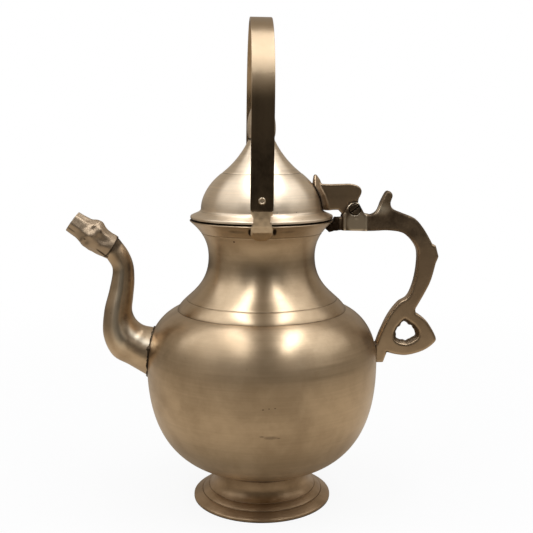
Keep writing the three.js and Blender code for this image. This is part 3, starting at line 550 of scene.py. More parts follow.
def metal(name, tones, relief, brushed=0.0, turn=0.0, spots=()):
    """A brass finish: worn metal, with painted light and shade, of the given tones on a metallic shader,
    with a bump as deep as the relief in millimetres, brushed along its UV map, and with marks at the places
    of the spots: pits, a stain, painted shade and painted reflections."""
    made = bpy.data.materials.new(name)
    made.use_nodes = True
    g = Graph(made.node_tree)
    shader = made.node_tree.nodes["Principled BSDF"].inputs
    place = g.place()
    # grime and painted shade from the piece's attribute, with the spots: pits, a stain, painted shade and
    # painted reflections
    marks = g.most(g.attribute("grime_and_shade"), 0.0)
    for centre, radii, strength in spots:
        marks = g.most(marks, spot(g, place, centre, radii, strength))
    wear_and_shade = g.node("Group", {"Place": place, "Across": g.attribute("across"), "Grime_and_shade_share": marks,
                            "Painted_highlight_share": g.attribute("painted_highlight"), "Tarnish_and_shade_colour": TARNISH_AND_SHADE, **tones},
                  node_tree=wear_and_painted_light).outputs
    bump = g.node("Bump", {"Height": wear_and_shade["Height"], "Strength": 1.0, "Distance": relief * MM})
    g.feed(shader, {"Base Color": wear_and_shade["Color"], "Roughness": wear_and_shade["Roughness"],
                    "Normal": bump.outputs["Normal"]})
    shader["Metallic"].default_value = 1.0
    if brushed:
        tangent = g.node("Tangent", direction_type="UV_MAP", uv_map="brushing")
        g.feed(shader, {"Tangent": tangent.outputs[0]})
        shader["Anisotropic"].default_value = brushed
        shader["Anisotropic Rotation"].default_value = turn
    return made


def look(bright, dull, patches, lines, smooth, rough, pits):
    """The two colours and the amounts of patches, lines and pits, with the roughness between two."""
    return {"Bright": (*bright, 1), "Dull": (*dull, 1), "Patches": patches, "Lines": lines,
            "Smooth": smooth, "Rough": rough, "Pits": pits}


BRIGHT = (0.56, 0.42, 0.27)
DULL = (0.4, 0.285, 0.172)
# dark colour of grime and of painted shade
TARNISH_AND_SHADE = (0.035, 0.022, 0.013, 1)
BLACKENED = (0.02, 0.013, 0.008, 1)
# pale colour of painted highlights
PAINTED_HIGHLIGHT_TAN = (0.86, 0.74, 0.56, 1)
ALONG_UV = 0.0
ACROSS_UV = 0.25

# Marks: centre, radii, strength
# a pit, a painted dark reflection in a band under the rim, and painted shadows on both sides of the front
# lug
NECK_PIT_AND_SHADE_SPOTS = [((-19.9, -35.8, 191.8), (0.9, 2, 0.9), 1.0), ((-18, -42.8, 199.2), (14, 8, 2.8), 0.5),
              ((15, -44, 199.2), (11, 8, 2.6), 0.46), ((-9.6, -45.6, 199.6), (2.3, 7, 6.4), 0.9),
              ((6.4, -46.3, 199.6), (2.3, 7, 6.2), 0.85)]
LID_SPOTS = [((8.2, -41.7, 211.4), (0.6, 2, 0.6), 0.9), ((21.5, -37.2, 211.2), (0.6, 2, 0.5), 0.85)]
# painted shade in the nozzle's dimples and hollows
NOZZLE_SHADE_SPOTS = [((-111, -8.5, 196), (1.9, 4, 2.9), 0.62), ((-122.2, -7, 191.2), (2.2, 4, 1.9), 0.7),
                ((-116.5, -7, 194), (1.6, 4, 2.2), 0.4), ((-106, -8.5, 189.5), (1.6, 4, 3.4), 0.42)]
# pits, a stain, and painted reflections of the spout and of the handle on the belly's sides
BELLY_MARK_AND_REFLECTION_SPOTS = [((-2.9, -81.6, 91.2), (1.3, 2, 0.6), 0.75), ((0.9, -81.7, 91.8), (0.9, 2, 0.5), 0.7),
               ((4.7, -81.6, 92.0), (1.1, 2, 0.5), 0.7), ((2.3, -79.1, 71.7), (9.5, 4, 2.8), 0.47),
               ((-3.5, -79.1, 72.6), (3.2, 3, 1.2), 0.5), ((7.2, -79.1, 71.2), (2.4, 3, 1.0), 0.48),
               ((-66.2, -42.8, 120.7), (15, 18, 14), 0.38), ((71, -34.7, 120.3), (9, 12, 15), 0.24)]

wear_and_painted_light = wear_and_painted_light_group()
belly_brass = metal("belly_brass", look(BRIGHT, DULL, 0.75, 0.5, 0.28, 0.43, 0.12), 0.04, 0.72, ACROSS_UV,
                    BELLY_MARK_AND_REFLECTION_SPOTS)
neck_brass = metal("neck_brass", look(BRIGHT, DULL, 0.75, 0.4, 0.28, 0.43, 0.12), 0.04, 0.72, ACROSS_UV,
                   NECK_PIT_AND_SHADE_SPOTS)
lid_brass = metal("lid_brass", look((0.84, 0.7, 0.53), (0.68, 0.54, 0.385), 0.75, 0.8, 0.33, 0.46, 0.12),
                  0.06, 0.8, ACROSS_UV, LID_SPOTS)
# the foot's brass is browner than the body's and also darker, the darkness a painted dark reflection
foot_brass_with_shade = metal("foot_brass_with_shade", look((0.5, 0.355, 0.22), (0.31, 0.21, 0.12), 0.9, 0.4, 0.3, 0.45, 0.2),
                   0.04, 0.5, ACROSS_UV)
drawn_brass = metal("drawn_brass", look((0.62, 0.475, 0.315), (0.46, 0.33, 0.205), 0.9, 0.25, 0.28, 0.42,
                                        0.2), 0.05, 0.35, ALONG_UV)
cast_brass = metal("cast_brass", look((0.82, 0.67, 0.48), (0.64, 0.5, 0.34), 0.9, 0.0, 0.34, 0.48, 0.2),
                   0.05)
nozzle_brass = metal("nozzle_brass", look((0.5, 0.385, 0.265), (0.34, 0.25, 0.165), 0.9, 0.0, 0.4, 0.54,
                                          0.2), 0.045, spots=NOZZLE_SHADE_SPOTS)
handle_brass = metal("handle_brass", look((0.47, 0.345, 0.22), (0.32, 0.225, 0.14), 0.9, 0.0, 0.3, 0.44,
                                          0.2), 0.09)
strap_brass = metal("strap_brass", look(BRIGHT, DULL, 0.35, 0.12, 0.36, 0.46, 0.2), 0.015, 0.9, ACROSS_UV)
dark_brass = metal("dark_brass", {**look((0.2, 0.15, 0.1), (0.1, 0.072, 0.046), 0.9, 0.1, 0.26, 0.42, 0.6),
                                  "Tarnish_and_shade_colour": BLACKENED}, 0.08)


# Turned pieces

def behind_wall(radius, level, curve):
    """True on the inside of the shell whose outside follows the curve."""
    return radius < np.interp(level, curve[:, 1], curve[:, 0]) - 0.6 * WALL


belly_curve = join(bezier(BELLY_UNDER, 12), bezier(BELLY_LOWER, 56), bezier(BELLY_UPPER, 30))
belly_inner = offset_inwards(belly_curve, WALL)
belly_inner = belly_inner[(belly_inner[:, 1] < SEAM_LEVEL - WALL) & (belly_inner[:, 0] > 0.5)]
belly_profile = join(belly_curve, [(59.4, SEAM_LEVEL - 0.05), (57.5, SEAM_LEVEL - 0.05)],
                     belly_inner[::-1], [(0, BELLY_UNDER[0][1] + WALL)])


def belly_dirt_and_shade(points, radius, level):
    """The dark seam, painted shade above the foot and round the handle's pad, and grime and painted shade
    on the inside.
    """
    seam = bell(radius - SEAM_RADIUS, 0.35) * (level > 130) * 0.45
    foot = bell(radius - FOOT_RADIUS, 1.6) * (level < 40) * 0.7
    pad = np.linalg.norm((points - np.array([81.6, 0, PAD_LEVEL - 0.5])) / np.array([4, 5.5, 8]), axis=1)
    return greatest(seam, foot, beyond(pad - 0.9, 0.2) * 0.8, 0.8 * behind_wall(radius, level, belly_curve))


turned("belly", belly_profile, "vessel", "belly_shell", belly_brass, 256, belly_dirt_and_shade)

neck_curve = join(bezier(NECK_LOWER, 44), bezier(NECK_UPPER, 30))
neck_outer = groove(groove(neck_curve, SHOULDER_LINE_LEVEL, 0.3, 0.55), NECK_LINE_LEVEL, 0.22, 0.6)
neck_inner = offset_inwards(neck_curve, WALL)
neck_inner = neck_inner[neck_inner[:, 1] > SEAM_LEVEL + WALL]
neck_profile = join([(59.35, SEAM_LEVEL), (59.6, SEAM_LEVEL + 0.2)], neck_outer[1:],
                    [(50.35, 203.0), (50.15, 203.2), (49.9, RIM_LEVEL), (47.7, RIM_LEVEL), (47.4, 203.1)],
                    neck_inner[::-1][1:],
                    [(55.1, SEAM_LEVEL + 1.6), (55.1, SEAM_LEVEL - 3), (56.9, SEAM_LEVEL - 3),
                     (56.9, SEAM_LEVEL)])


def neck_dirt_and_shade(points, radius, level):
    """Darkening in the turned lines and the dark seam, a painted dark band under the rim, a painted shadow
    on its flat top where the lid sits, and grime and painted shade on the inside.
    """
    shoulder_line = bell(level - SHOULDER_LINE_LEVEL, 0.32) * 0.52
    neck_line = bell(level - NECK_LINE_LEVEL, 0.35) * 0.5
    seam = bell(level - SEAM_LEVEL, 0.25) * 0.5
    # painted dark reflection in a band under the rim
    under_rim = bell(level - 202, 2.5) * 0.35
    inside = behind_wall(radius, level, neck_curve) & (level < RIM_LEVEL - 0.5)
    # the rim's flat top is painted black as the shadow under the lid
    return greatest(shoulder_line, neck_line, seam, under_rim, 0.8 * inside, level > RIM_LEVEL - 0.02)


turned("neck", neck_profile, "vessel", "neck_shell", neck_brass, 224, neck_dirt_and_shade)

foot_wall = bezier([(38.4, 9.2), (36, 11), (33.6, 13.5), (33.6, 19)], 16)
foot_profile = join([(49.4, 0), (49.65, 0.15), (49.7, 0.5), (49.7, 1.6), (49.6, 1.95), (49.2, 2.25),
                     (48.2, 2.9), (44.4, 5.0), (43.9, 5.25), (43.6, 5.3), (43.35, 5.1), (43.2, 5.3),
                     (43.2, 5.75), (42.9, 6.05), (41.5, 7.0), (39.1, 8.65), (38.7, 8.8), (38.5, 8.7),
                     (38.35, 8.85)], foot_wall, [(33.9, 21.5), (34.6, 24), (34.8, FOOT_TOP),
                    (31.2, 23.5), (31.0, 14), (38.3, 4.6), (47.3, 1), (47.3, 0)])


def foot_dirt_and_shade(points, radius, level):
    """Darkening in both turned steps, painted shade under the belly, a painted contact shadow at the table,
    and painted shade underneath.
    """
    step = bell(away(radius, level, FOOT_STEP), 0.5) * 0.52
    line = bell(away(radius, level, FOOT_LINE), 0.4) * 0.48
    top = bell(level - FOOT_TOP, 2.4) * 0.85
    low = bell(level, 0.9) * 0.9
    under = radius < np.interp(level, [0, 1, 4.6, 12, 24], [48, 48, 40, 32.4, 32.4])
    return greatest(step, line, top, low, under * 0.8)


turned("foot", foot_profile, "vessel", "foot_ring", foot_brass_with_shade, 192, foot_dirt_and_shade)

dome_curve = join(bezier(DOME_LOWER, 34), bezier(DOME_UPPER, 26))
dome_outer = groove(dome_curve, DOME_LINE_LEVEL, 0.28, 0.6)
dome_inner = offset_inwards(dome_curve, WALL)
dome_inner = dome_inner[dome_inner[:, 0] > 8.9]
lid_profile = join([(48.4, 204.5), (49.5, 204.5), (49.8, 204.65), (49.9, 205.1), (49.85, 205.8)],
                   bezier([(49.6, 206.25), (47.6, 207.3), (45.2, 208), (43.9, 209)], 10),
                   bezier([(43.9, 209), (43.1, 209.6), (42.6, 210.2), (42.5, 211)], 6),
                   dome_outer[dome_outer[:, 1] > 211.2],
                   [(2.9, DOME_TOP), (2.9, 256.1), (7.1, 256.1)], dome_inner[::-1],
                   [(40.2, 203.2), (40.2, 199.8), (40.4, 199.6), (41.8, 199.6), (42, 199.8), (42, 203.6),
                    (48.4, 203.6)])


def lid_dirt_and_shade(points, radius, level):
    """Darkening where the brim meets the dome, in the turned line and under the finial, and painted shade
    on all the underside.
    """
    corner = bell(away(radius, level, BRIM_CORNER), 0.8) * 0.42
    line = bell(level - DOME_LINE_LEVEL, 0.35) * 0.5 * (radius > 20)
    top = bell(level - DOME_TOP, 0.9) * 0.8
    under = behind_wall(radius, level, dome_curve) & (level > 210)
    return greatest(corner, line, top, 0.7 * under, level < 204.52)


def finial_crease_darkening(points, radius, level):
    """Darkening where the stem enters the lid."""
    return bell(level - DOME_TOP, 1.0) * 0.9


finial_profile = join([(0, 253.8), (2.6, 253.8), (2.6, DOME_TOP)], bezier(FINIAL_LOWER, 12),
                      bezier(FINIAL_UPPER, 30))
turned("lid", lid_profile, "lid", "lid_dome", lid_brass, 224, lid_dirt_and_shade)
turned("finial", finial_profile, "lid", "lid_finial", lid_brass, 96, finial_crease_darkening)


# Spout

SPOUT_SIDES = 128


def turn_of(count):
    """Each point's turn from the inner line, in degrees, alike on both flanks: its place in its ring."""
    return 180 - np.abs((np.arange(count) % SPOUT_SIDES) * 360 / SPOUT_SIDES - 180)


def rings_about(middle, up, radius):
    """Rings about a middle line. A point is middle + radius * (up cos a + Y sin a)."""
    angle = turns(SPOUT_SIDES)
    rise = radius * np.cos(angle)
    x = middle[:, :1] + rise * up[:, :1]
    z = middle[:, 1:] + rise * up[:, 1:]
    return np.stack([x, radius * np.sin(angle) + 0 * x, z], -1)


def tube_between(over, under, samples, reach, stretch=0.0):
    """Rings between two rails, each about the middle of the line that joins them, with half of that
    line times reach(t, a) as the radius. A stretch starts the tube that many steps earlier."""
    lines = []
    for points in (over, under):
        line = rail(points, samples) * (-1, 1) + (-BELLY_SIDE, SPOUT_LEVEL)
        if stretch:
            line = np.vstack([line[0] - stretch * (line[1] - line[0]), line])
        lines.append(line)
    over, under = lines
    middle = (over + under) / 2
    half = np.linalg.norm(over - under, axis=1) / 2
    up = (over - under) / (2 * half[:, None])
    t = np.linspace(0, 1, len(middle))
    radius = half[:, None] * reach(t[:, None], turns(SPOUT_SIDES)[None, :])
    return rings_about(middle, up, radius), middle, half, up


def tube_piece(name, node_name, outside, inside, material, values):
    """A tube wall: the outer rings, then the inner ones back again, closed end to end."""
    rings = np.concatenate([outside, inside[::-1]])
    rows, sides = rings.shape[:2]
    faces, corner_rows, corner_columns = grid_faces(rows, sides, True, True)
    flow = np.linspace(0, 1, rows + 1)
    uv = np.stack([corner_columns / sides, flow[corner_rows]], -1).reshape(-1, 2)
    points = rings.reshape(-1, 3)
    make_piece(name, points, faces, "vessel", [node_name], material, 40.0, uv, values(points))


def spout_reach(t, a):
    """Round, with a soft ridge along each flank that fades out at both ends."""
    flank = bell(np.abs(np.sin(a)) - 1, 0.045) - 0.25
    return 1 + 0.05 * flank * unit(t / 0.25) * unit((0.97 - t) / 0.12)


def bore_reach(t, a):
    """The bore is a plain share of the tube."""
    return 0.78 + 0 * t * a


spout_points, spout_middle = tube_between(SPOUT_OVER, SPOUT_UNDER, 150, spout_reach, 3.0)[:2]
spout_bore = tube_between(SPOUT_OVER, SPOUT_UNDER, 150, bore_reach, 3.0)[0]


def spout_values(points):
    """A painted shadow under the nozzle, painted shade along each flank's inner side, a painted highlight
    streak in the lower bend and a painted highlight line along each flank. Each is a bell about one turn
    from the inner line, in degrees, under a slope along the spout. Drawn marks are added, and the bore is
    darkened as grime and painted shade."""
    back = spout_middle[-2] - spout_middle[-1]
    end = (points[:, [0, 2]] - spout_middle[-1]) @ back / np.linalg.norm(back)
    rows = len(spout_points)
    row = np.arange(len(points)) // SPOUT_SIDES
    outside = row < rows
    flow = np.minimum(row, 2 * rows - 1 - row) / (rows - 1)
    turn = turn_of(len(points))
    shadow_under_nozzle = beyond(end, 1.3 + 3.4 * bell(turn - 72, 34)) * 0.75
    low_bend = unit((0.34 - flow) / 0.16)
    # painted shade along each flank's inner side
    shade = bell(turn - 48 - 38 * low_bend, 26 - 4 * low_bend) * (0.56 - 0.02 * low_bend)
    shade = shade * unit((0.97 - flow) / 0.2)
    marks = np.clip(np.sin(turn * 0.33) + np.sin(turn * 0.81 + 1.3), 0, 2)
    marks = 0.1 * marks * (0.5 + 0.5 * np.sin(9 * flow))
    # painted highlight streak in the lower bend
    highlight_streak = bell(turn - 61 + 8 * unit(flow / 0.3), 8) * unit((0.34 - flow) / 0.12)
    # painted highlight line along each flank
    line = bell(turn - 92, 15) * unit((flow - 0.15) / 0.15) * unit((0.9 - flow) / 0.2)
    # the bore is darkened as grime and painted shade
    return {"grime_and_shade": unit(greatest(shadow_under_nozzle, shade, marks)) * outside + 0.7 * ~outside,
            "painted_highlight": np.maximum(highlight_streak, 0.75 * line) * outside, "across": turn * 0.0002}


tube_piece("spout", "spout_tube", spout_points, spout_bore, drawn_brass, spout_values)


def spout_root_ring():
    """Where the spout's rings first leave the belly: on each of its lines the crossing point."""
    off = off_body(*np.moveaxis(spout_points, -1, 0))
    first = np.argmax(off > 0, 0)
    column = np.arange(SPOUT_SIDES)
    last = np.maximum(first - 1, 0)
    share = off[last, column] / (off[last, column] - off[first, column] + 1e-9)
    share = unit(share)[:, None]
    return spout_points[last, column] * (1 - share) + spout_points[first, column] * share


def braze_bead(name, ring, thickness):
    """A bead of brazing metal along a closed ring of points: rings of ten points about each, of a
    radius that swells and shrinks along it, with a blot on each flank."""
    sides = 10
    tangent = directions(np.roll(ring, -1, 0) - np.roll(ring, 1, 0))
    side = directions(np.cross(tangent, directions(ring * np.array([1, 1, 0]))))
    out = np.cross(side, tangent)
    angle = turns(sides)
    swell = np.clip(0.8 + 0.34 * ripple(ring[:, 0], ring[:, 1], ring[:, 2], 9.0), 0.4, 1.6)
    blot = bell(ring[:, 2] - ring[:, 2].mean() - 5.8, 1.8) * (np.abs(out[:, 1]) > 0.1)
    radius = (thickness * (swell + 0.9 * blot))[:, None, None]
    points = ring[:, None] + radius * (np.cos(angle)[None, :, None] * out[:, None]
                                       + np.sin(angle)[None, :, None] * side[:, None])
    count = len(ring) * sides
    make_piece(name, points.reshape(-1, 3), grid_faces(len(ring), sides, True, True)[0], "vessel", [],
               dark_brass, 180.0, None,
               {"grime_and_shade": np.full(count, 0.62), "across": np.zeros(count)})


braze_bead("spout_braze", spout_root_ring(), 1.1)


def nozzle_reach(t, a):
    """Eight soft faces, a collar of five lumps, a hollow behind it and uneven hand work: one less a
    share of squared sines of the turn, each under a bell along the flow."""
    faces = np.abs(np.sin(4 * a + 0.2)) ** 1.4
    collar = bell(t - 0.5, 0.1)
    base = bell(t, 0.16)
    behind = bell(t - 0.27, 0.12)
    lumps = np.sin(2.5 * a + 0.9) ** 2
    petals = np.sin(2.5 * a + 0.3) ** 2
    hollow = 0.06 * faces * (1 - 0.6 * base) + 0.13 * collar * lumps + 0.13 * behind * (1 - petals)
    uneven = 0.014 * np.sin(5 * a + 17 * t) * np.sin(15 * t + 1.2) + 0.008 * np.sin(7 * a - 13 * t + 0.7)
    return 1 - hollow - 0.04 * base * petals + uneven * unit((0.92 - t) / 0.1)


nozzle = tube_between(NOZZLE_OVER, NOZZLE_UNDER, 90, nozzle_reach)
nozzle_points, nozzle_middle, nozzle_half, nozzle_up = nozzle
nozzle_along = lengths(nozzle_middle)
nozzle_flow = nozzle_middle[-1] - nozzle_middle[0]
nozzle_flow /= np.linalg.norm(nozzle_flow)


def nozzle_bore(radius):
    """Round hole through the nozzle: rings about its middle line, square to its flow."""
    square = np.array([-nozzle_flow[1], nozzle_flow[0]])
    square *= np.sign(square @ nozzle_up[-1])
    return rings_about(nozzle_middle, square[None], radius)


def nozzle_values(points):
    """Darkening along the petals' wavy seam, partly the joint and partly a painted shadow under the petals'
    edge, painted shade in the hollows, and painted shadow lines below the flank.
    """
    start = (points[:, [0, 2]] - nozzle_middle[0]) @ nozzle_flow
    edge = 0.9 + 1.1 * np.sin(2.5 * np.arctan2(points[:, 1], points[:, 2] - 178) + 0.6)
    # the joint, with a painted shadow under the petals' edge
    seam = bell(start - edge, 0.95) * 0.8
    centre = np.interp(start, nozzle_along, nozzle_half)
    axis_line = nozzle_middle[0] + np.outer(start, nozzle_flow)
    off_axis = np.sqrt(((points[:, [0, 2]] - axis_line) ** 2).sum(1) + points[:, 1] ** 2)
    # painted shade in the hollows
    low = unit((0.89 - off_axis / np.maximum(centre, 1)) * 6) * 0.45
    turn = turn_of(len(points))
    # painted shadow lines under the petals and further along the flank
    under = bell(turn - 133 + 1.2 * start, 7) * unit((11 - start) / 4) * 0.75
    line = bell(turn - 122, 7) * unit((start - 24) / 4) * unit((43 - start) / 6) * 0.62
    return {"grime_and_shade": unit(greatest(seam, low, under, line)), "across": points[:, 1] * MM}


tube_piece("nozzle", "spout_nozzle", nozzle_points, nozzle_bore(5.2), nozzle_brass,
           nozzle_values)


# Handle

def outline_of(*runs):
    """A closed outline from runs of corners and smooth runs. A smooth run starts at the last point."""
    points = np.zeros((0, 2))
    for smooth, run in runs:
        run = np.array(run, float)
        if smooth:
            run = spline(np.vstack([points[-1:], run]))[1:]
        points = np.vstack([points, run])
    return points


def beside(*pairs):
    """Points from the belly's side and the pad's level."""
    return [(BELLY_SIDE + x, PAD_LEVEL + z) for x, z in pairs]


def over(*pairs):
    """Points from the belly's side and the rim's level."""
    return [(BELLY_SIDE + x, RIM_LEVEL + z) for x, z in pairs]


def from_rim(*pairs):
    """Points from the rim's outer edge."""
    return [(RIM_RADIUS + x, RIM_LEVEL + z) for x, z in pairs]


def at_hinge(*pairs):
    """Points from the hinge's line."""
    return [(HINGE_X + x, HINGE_Z + z) for x, z in pairs]


handle_outline = outline_of(
    (False, from_rim((0.7, 1.1), (0.2, -1.6), (-10, -4.8), (-5.6, -6.4))),
    (True, from_rim((-3.4, -8.6), (-1.8, -8.9), (3.6, -7.9), (14, -8), (26, -8.6))
     + over((8, -8.3), (19, -10.7), (26.8, -18.7), (29, -27.3))
     + beside((27.4, 54.5), (22.9, 42), (16, 37), (9.2, 28.2), (3.6, 16.5), (0.4, 7.6))),
    (False, beside((-5, 6), (-5, -6.7), (5.6, -6.7), (8.2, 0.8))),
    (True, beside((15, -1), (23.5, -1.5), (34.6, 1.6), (42.4, 7.2), (43.4, 12), (36.4, 23.6),
                  (28.6, 29.6))),
    (False, beside((28.2, 32.2))),
    (True, beside((37.9, 50.6)) + over((42, -32))),
    (False, over((43.9, -27.2), (41.7, -19.2), (39.2, -18))),
    (True, over((33.1, -7.7), (26.4, 0), (17.5, 3.9), (10.4, 7.1), (8.6, 11.1), (10, 16.2), (8.4, 19.1),
                (5.7, 19), (2.2, 12.7), (-0.6, 5.8), (-4.5, 3.2), (-8, 3.7))),
    (False, at_hinge((0, -5.4))))

loop_hole = spline(beside((20.5, 25.3), (26.5, 21.3), (31, 15.6), (29, 10), (22.5, 7.2), (16, 8.4),
                          (12.8, 13.6), (15.4, 20.2), (20.5, 25.3)))[:-1]

ear_outline = np.array([
    (HINGE_X - 8.6, RIM_LEVEL - 7.9), (HINGE_X + 9.2, RIM_LEVEL - 8.4),
    *at_hinge((9.2, -4.7), (6.4, -2.1), (2.7, 4.6), (-2.2, 4.4), (-5, 2.3), (-8.6, -4.8))])


def handle_field(x, y, z):
    """Plate with round edges and a rough open loop, ears smoothly joined on, and the slot, the screw's
    recess and the vessel's body cut out of it."""
    outer = outline_distance(x, z, handle_outline)
    hole = outline_distance(x, z, loop_hole)
    turn = np.arctan2(z - PAD_LEVEL - 15, x - BELLY_SIDE - 21.5)
    jagged = 0.35 * np.sin(6 * turn + 0.5) + 0.22 * np.sin(11 * turn + 2)
    narrowed = hole + 1.9 * unit(1 - (y / 3.6) ** 2) + jagged * unit(1.3 - np.abs(y) / 4)
    plate = rounded_plate(soft_cut(outer, narrowed, 1.2), y, 4.5, 1.6)
    ears = rounded_plate(outline_distance(x, z, ear_outline), y, EAR_HALF, 0.7)
    solid = soft_union(plate, ears, 0.6)
    rough = unit((BRAZE_X - x) / 3) * unit((z - BRAZE_LEVEL) / 2)
    solid = solid + 0.45 * rough * ripple(x, y, z, 5.0)
    slot = greatest(np.abs(y) - 2.6, HINGE_Z - 5.4 - z, np.abs(x - HINGE_X) - 12)
    solid = soft_cut(solid, slot, 0.3)
    recess = np.maximum(away(x, z, HINGE) - 3.9, y + EAR_HALF - 1.9)
    solid = soft_cut(solid, recess, 0.3)
    return np.maximum(solid, -off_body(x, y, z) - 1.0)


def handle_dirt_and_shade(points):
    """Painted shade in the screw's recess, the slot and the corners and round the loop, a painted shadow
    line beside the ear, the dark braze, and darker towards the upper end; painted highlights lift the
    darkening where they lie.
    """
    x, y, z = points.T
    recess = unit((4.6 - away(x, z, HINGE)) * 3) * (y < -3) * 0.85
    hole = outline_distance(x, z, loop_hole)
    rim = unit(1 - (hole - 0.2) / 1.3) * (0.25 + 0.35 * (np.abs(y) < 3.9))
    braze = unit((BRAZE_X - x) / 2.5) * unit((z - BRAZE_LEVEL) / 2) * 0.9
    pad = beyond(np.hypot(x, y) - 82.4, 0.8) * (z < 115) * 0.7
    slot = (np.abs(y) < 3.0) * (z > HINGE_Z - 6) * (np.abs(x - HINGE_X) < 9) * 0.8
    notch = bell(away(x, z, beside((8.2, 0.8))[0]), 1.6) * 0.8
    # darker towards the upper end
    upper = 0.66 * unit((z - 174) / 18)
    # painted shadow line along the ear's edge
    step = 0.62 * bell(x - 60.4, 1.3) * (np.abs(z - 203) < 6.5) * (np.abs(y) > 5)
    wear_and_shade = unit(greatest(rim, braze, pad, notch, upper, step))
    wear_and_shade = wear_and_shade * (1 - handle_painted_highlights(points))
    return greatest(wear_and_shade, recess, slot)


def handle_painted_highlights(points):
    """Painted highlights on the front: each is a bell about its centre, in the handle's own plane."""
    x, y, z = points.T
    oval = bell(np.hypot((x - 66.2) / 2.2, (z - 203.5) / 1.3), 1.0)
    right_band = bell(x - 73.0, 1.0) * (z > 195) * (z < 210) * 0.8
    left_band = bell(x - 58.0, 0.8) * (z > 195) * (z < 208) * 0.7
    face = bell(np.maximum(np.hypot((x - 66.5) / 5.5, (z - 201) / 6), 1) - 1, 0.3) * 0.55
    top = bell(away(x, z, HINGE) - 4.9, 0.7) * (x < HINGE_X + 3) * (z > HINGE_Z) * 0.9
    horn = bell(np.hypot((x - 84.4) / 4.4, (z - 210.1) / 3.0), 1.0)
    return greatest(oval, right_band, left_band, face, top, horn) * (y < 0)


cast("side_handle", handle_field, (38, -7, 97), (129, 7, 225), 0.5, "vessel", "handle",
     handle_brass, {"grime_and_shade": handle_dirt_and_shade, "painted_highlight": handle_painted_highlights})


# Hinge screw

def screw_field(x, y, z):
    """Slotted head on a plain shank: a disc with a round edge, less a slot turned across it."""
    radius = away(x, z, HINGE)
    head = rounded_plate(radius - 3.6, y + EAR_HALF - 0.85, 0.75, 0.35)
    shank = rounded_plate(radius - 2, y, EAR_HALF - 0.1, 0.2)
    slope = 0.61
    aside = (x - HINGE_X) * math.sin(slope) - (z - HINGE_Z) * math.cos(slope)
    slot = np.maximum(np.abs(aside) - 0.5, y + EAR_HALF - 0.8)
    return soft_cut(soft_union(head, shank, 0.2), slot, 0.15)


def screw_dirt_and_shade(points):
    """Grime and painted shade below the head's face: in its slot and all along the shank."""
    return unit((points[:, 1] + EAR_HALF - 0.25) * 2) * 0.8


cast("hinge_screw_slotted", screw_field, (HINGE_X - 4.5, -6.8, HINGE_Z - 4.5),
     (HINGE_X + 4.5, 6.8, HINGE_Z + 4.5), 0.18, "vessel", "hinge_screw", dark_brass,
     {"grime_and_shade": screw_dirt_and_shade}, 1)


# Thumb piece

web_start = outline_of(
    (False, [(41.5, 227.8), *at_hinge((-16, 17.3))]),
    (True, at_hinge((-8, 17.5), (-2.2, 17.5), (2.6, 16.2), (5, 13.6), (5, 10.6), (3.2, 7))))
knuckle_turn = np.linspace(0.94, -2.6, 24)
knuckle = np.stack([HINGE_X + 4.9 * np.cos(knuckle_turn), HINGE_Z + 4.9 * np.sin(knuckle_turn)], 1)
web_outline = np.vstack([web_start, knuckle, at_hinge((-8.2, -3.6), (-11, -0.7)), [(43.5, HINGE_Z - 0.8)]])

LEAF_UP = [209.9, 213.6, 220.2, 226.1, 230.7, 233.4, 234.4]
LEAF_BACK = [42.5, 42.5, 40.3, 37.3, 37.0, 36.9, 37.3]
LEAF_RIDGE = [6.8, 5.6, 5.4, 5.8, 4.6, 2.8, 1.6]
LEAF_HALF = [9.6, 12.0, 11.3, 8.6, 5.0, 2.4, 1.0]


def lid_distance(x, y, z):
    """How far outside the lid a point is, from the lid's radius at its level."""
    radius = np.interp(z, np.concatenate([[204.9, 207.75, 209.2], dome_curve[:, 1]]),
                       np.concatenate([[49.9, 49.5, 44.1], dome_curve[:, 0]]))
    return (np.hypot(x, y) - radius) * 0.9


def thumb_field(x, y, z):
    """Flat web with round edges, joined to a leaf: a curved shield that follows the dome at its back
    and rises to a ridge along its middle."""
    web = rounded_plate(outline_distance(x, z, web_outline), y, 2.3, 1.0)
    back = np.interp(z, LEAF_UP, LEAF_BACK)
    half = np.interp(z, LEAF_UP, LEAF_HALF)
    ridge = np.interp(z, LEAF_UP, LEAF_RIDGE)
    share = unit(1 - np.abs(y) / half)
    depth = x - (np.sqrt(np.maximum(back ** 2 - y ** 2, 0)) - 0.4)
    front = np.minimum(1.3 + np.maximum(ridge - 1.3, 0) * share ** 1.4, ridge)
    leaf = greatest(-depth, depth - front, (np.abs(y) - half) * 0.8, LEAF_UP[0] - z, z - LEAF_UP[-1])
    return np.maximum(soft_union(web, leaf, 1.6), 0.3 - lid_distance(x, y, z))


def thumb_dirt_and_shade(points):
    """Grime and painted shade along the lid and round the knuckle."""
    x, y, z = points.T
    foot = beyond(lid_distance(x, y, z) - 0.3, 1.3) * 0.85
    knuckle_corner = beyond(away(x, z, HINGE) - 5.0, 1.8) * 0.7
    return np.maximum(foot, knuckle_corner)


cast("thumb_lever", thumb_field, (34, -13, 204), (73, 13, 236.5), 0.42, "lid", "thumb_piece",
     handle_brass, {"grime_and_shade": thumb_dirt_and_shade})


# Bail, its lugs and rivets

def end_faces(rows, sides):
    """The two many-sided faces that close a run of rings."""
    return [list(range(sides)), list(range((rows - 1) * sides, rows * sides))[::-1]]


def rounded_section(width, thickness, edge, per_corner=5):
    """Points round a rectangle with round corners, as pairs of across and out."""
    quarter_turn = np.linspace(0, np.pi / 2, per_corner)
    corners = []
    for quarter, (sx, sy) in enumerate(((1, 1), (-1, 1), (-1, -1), (1, -1))):
        angle = quarter_turn + quarter * np.pi / 2
        corners.append(np.stack([sx * (width / 2 - edge) + edge * np.cos(angle),
                                 sy * (thickness / 2 - edge) + edge * np.sin(angle)], 1))
    return np.vstack(corners)


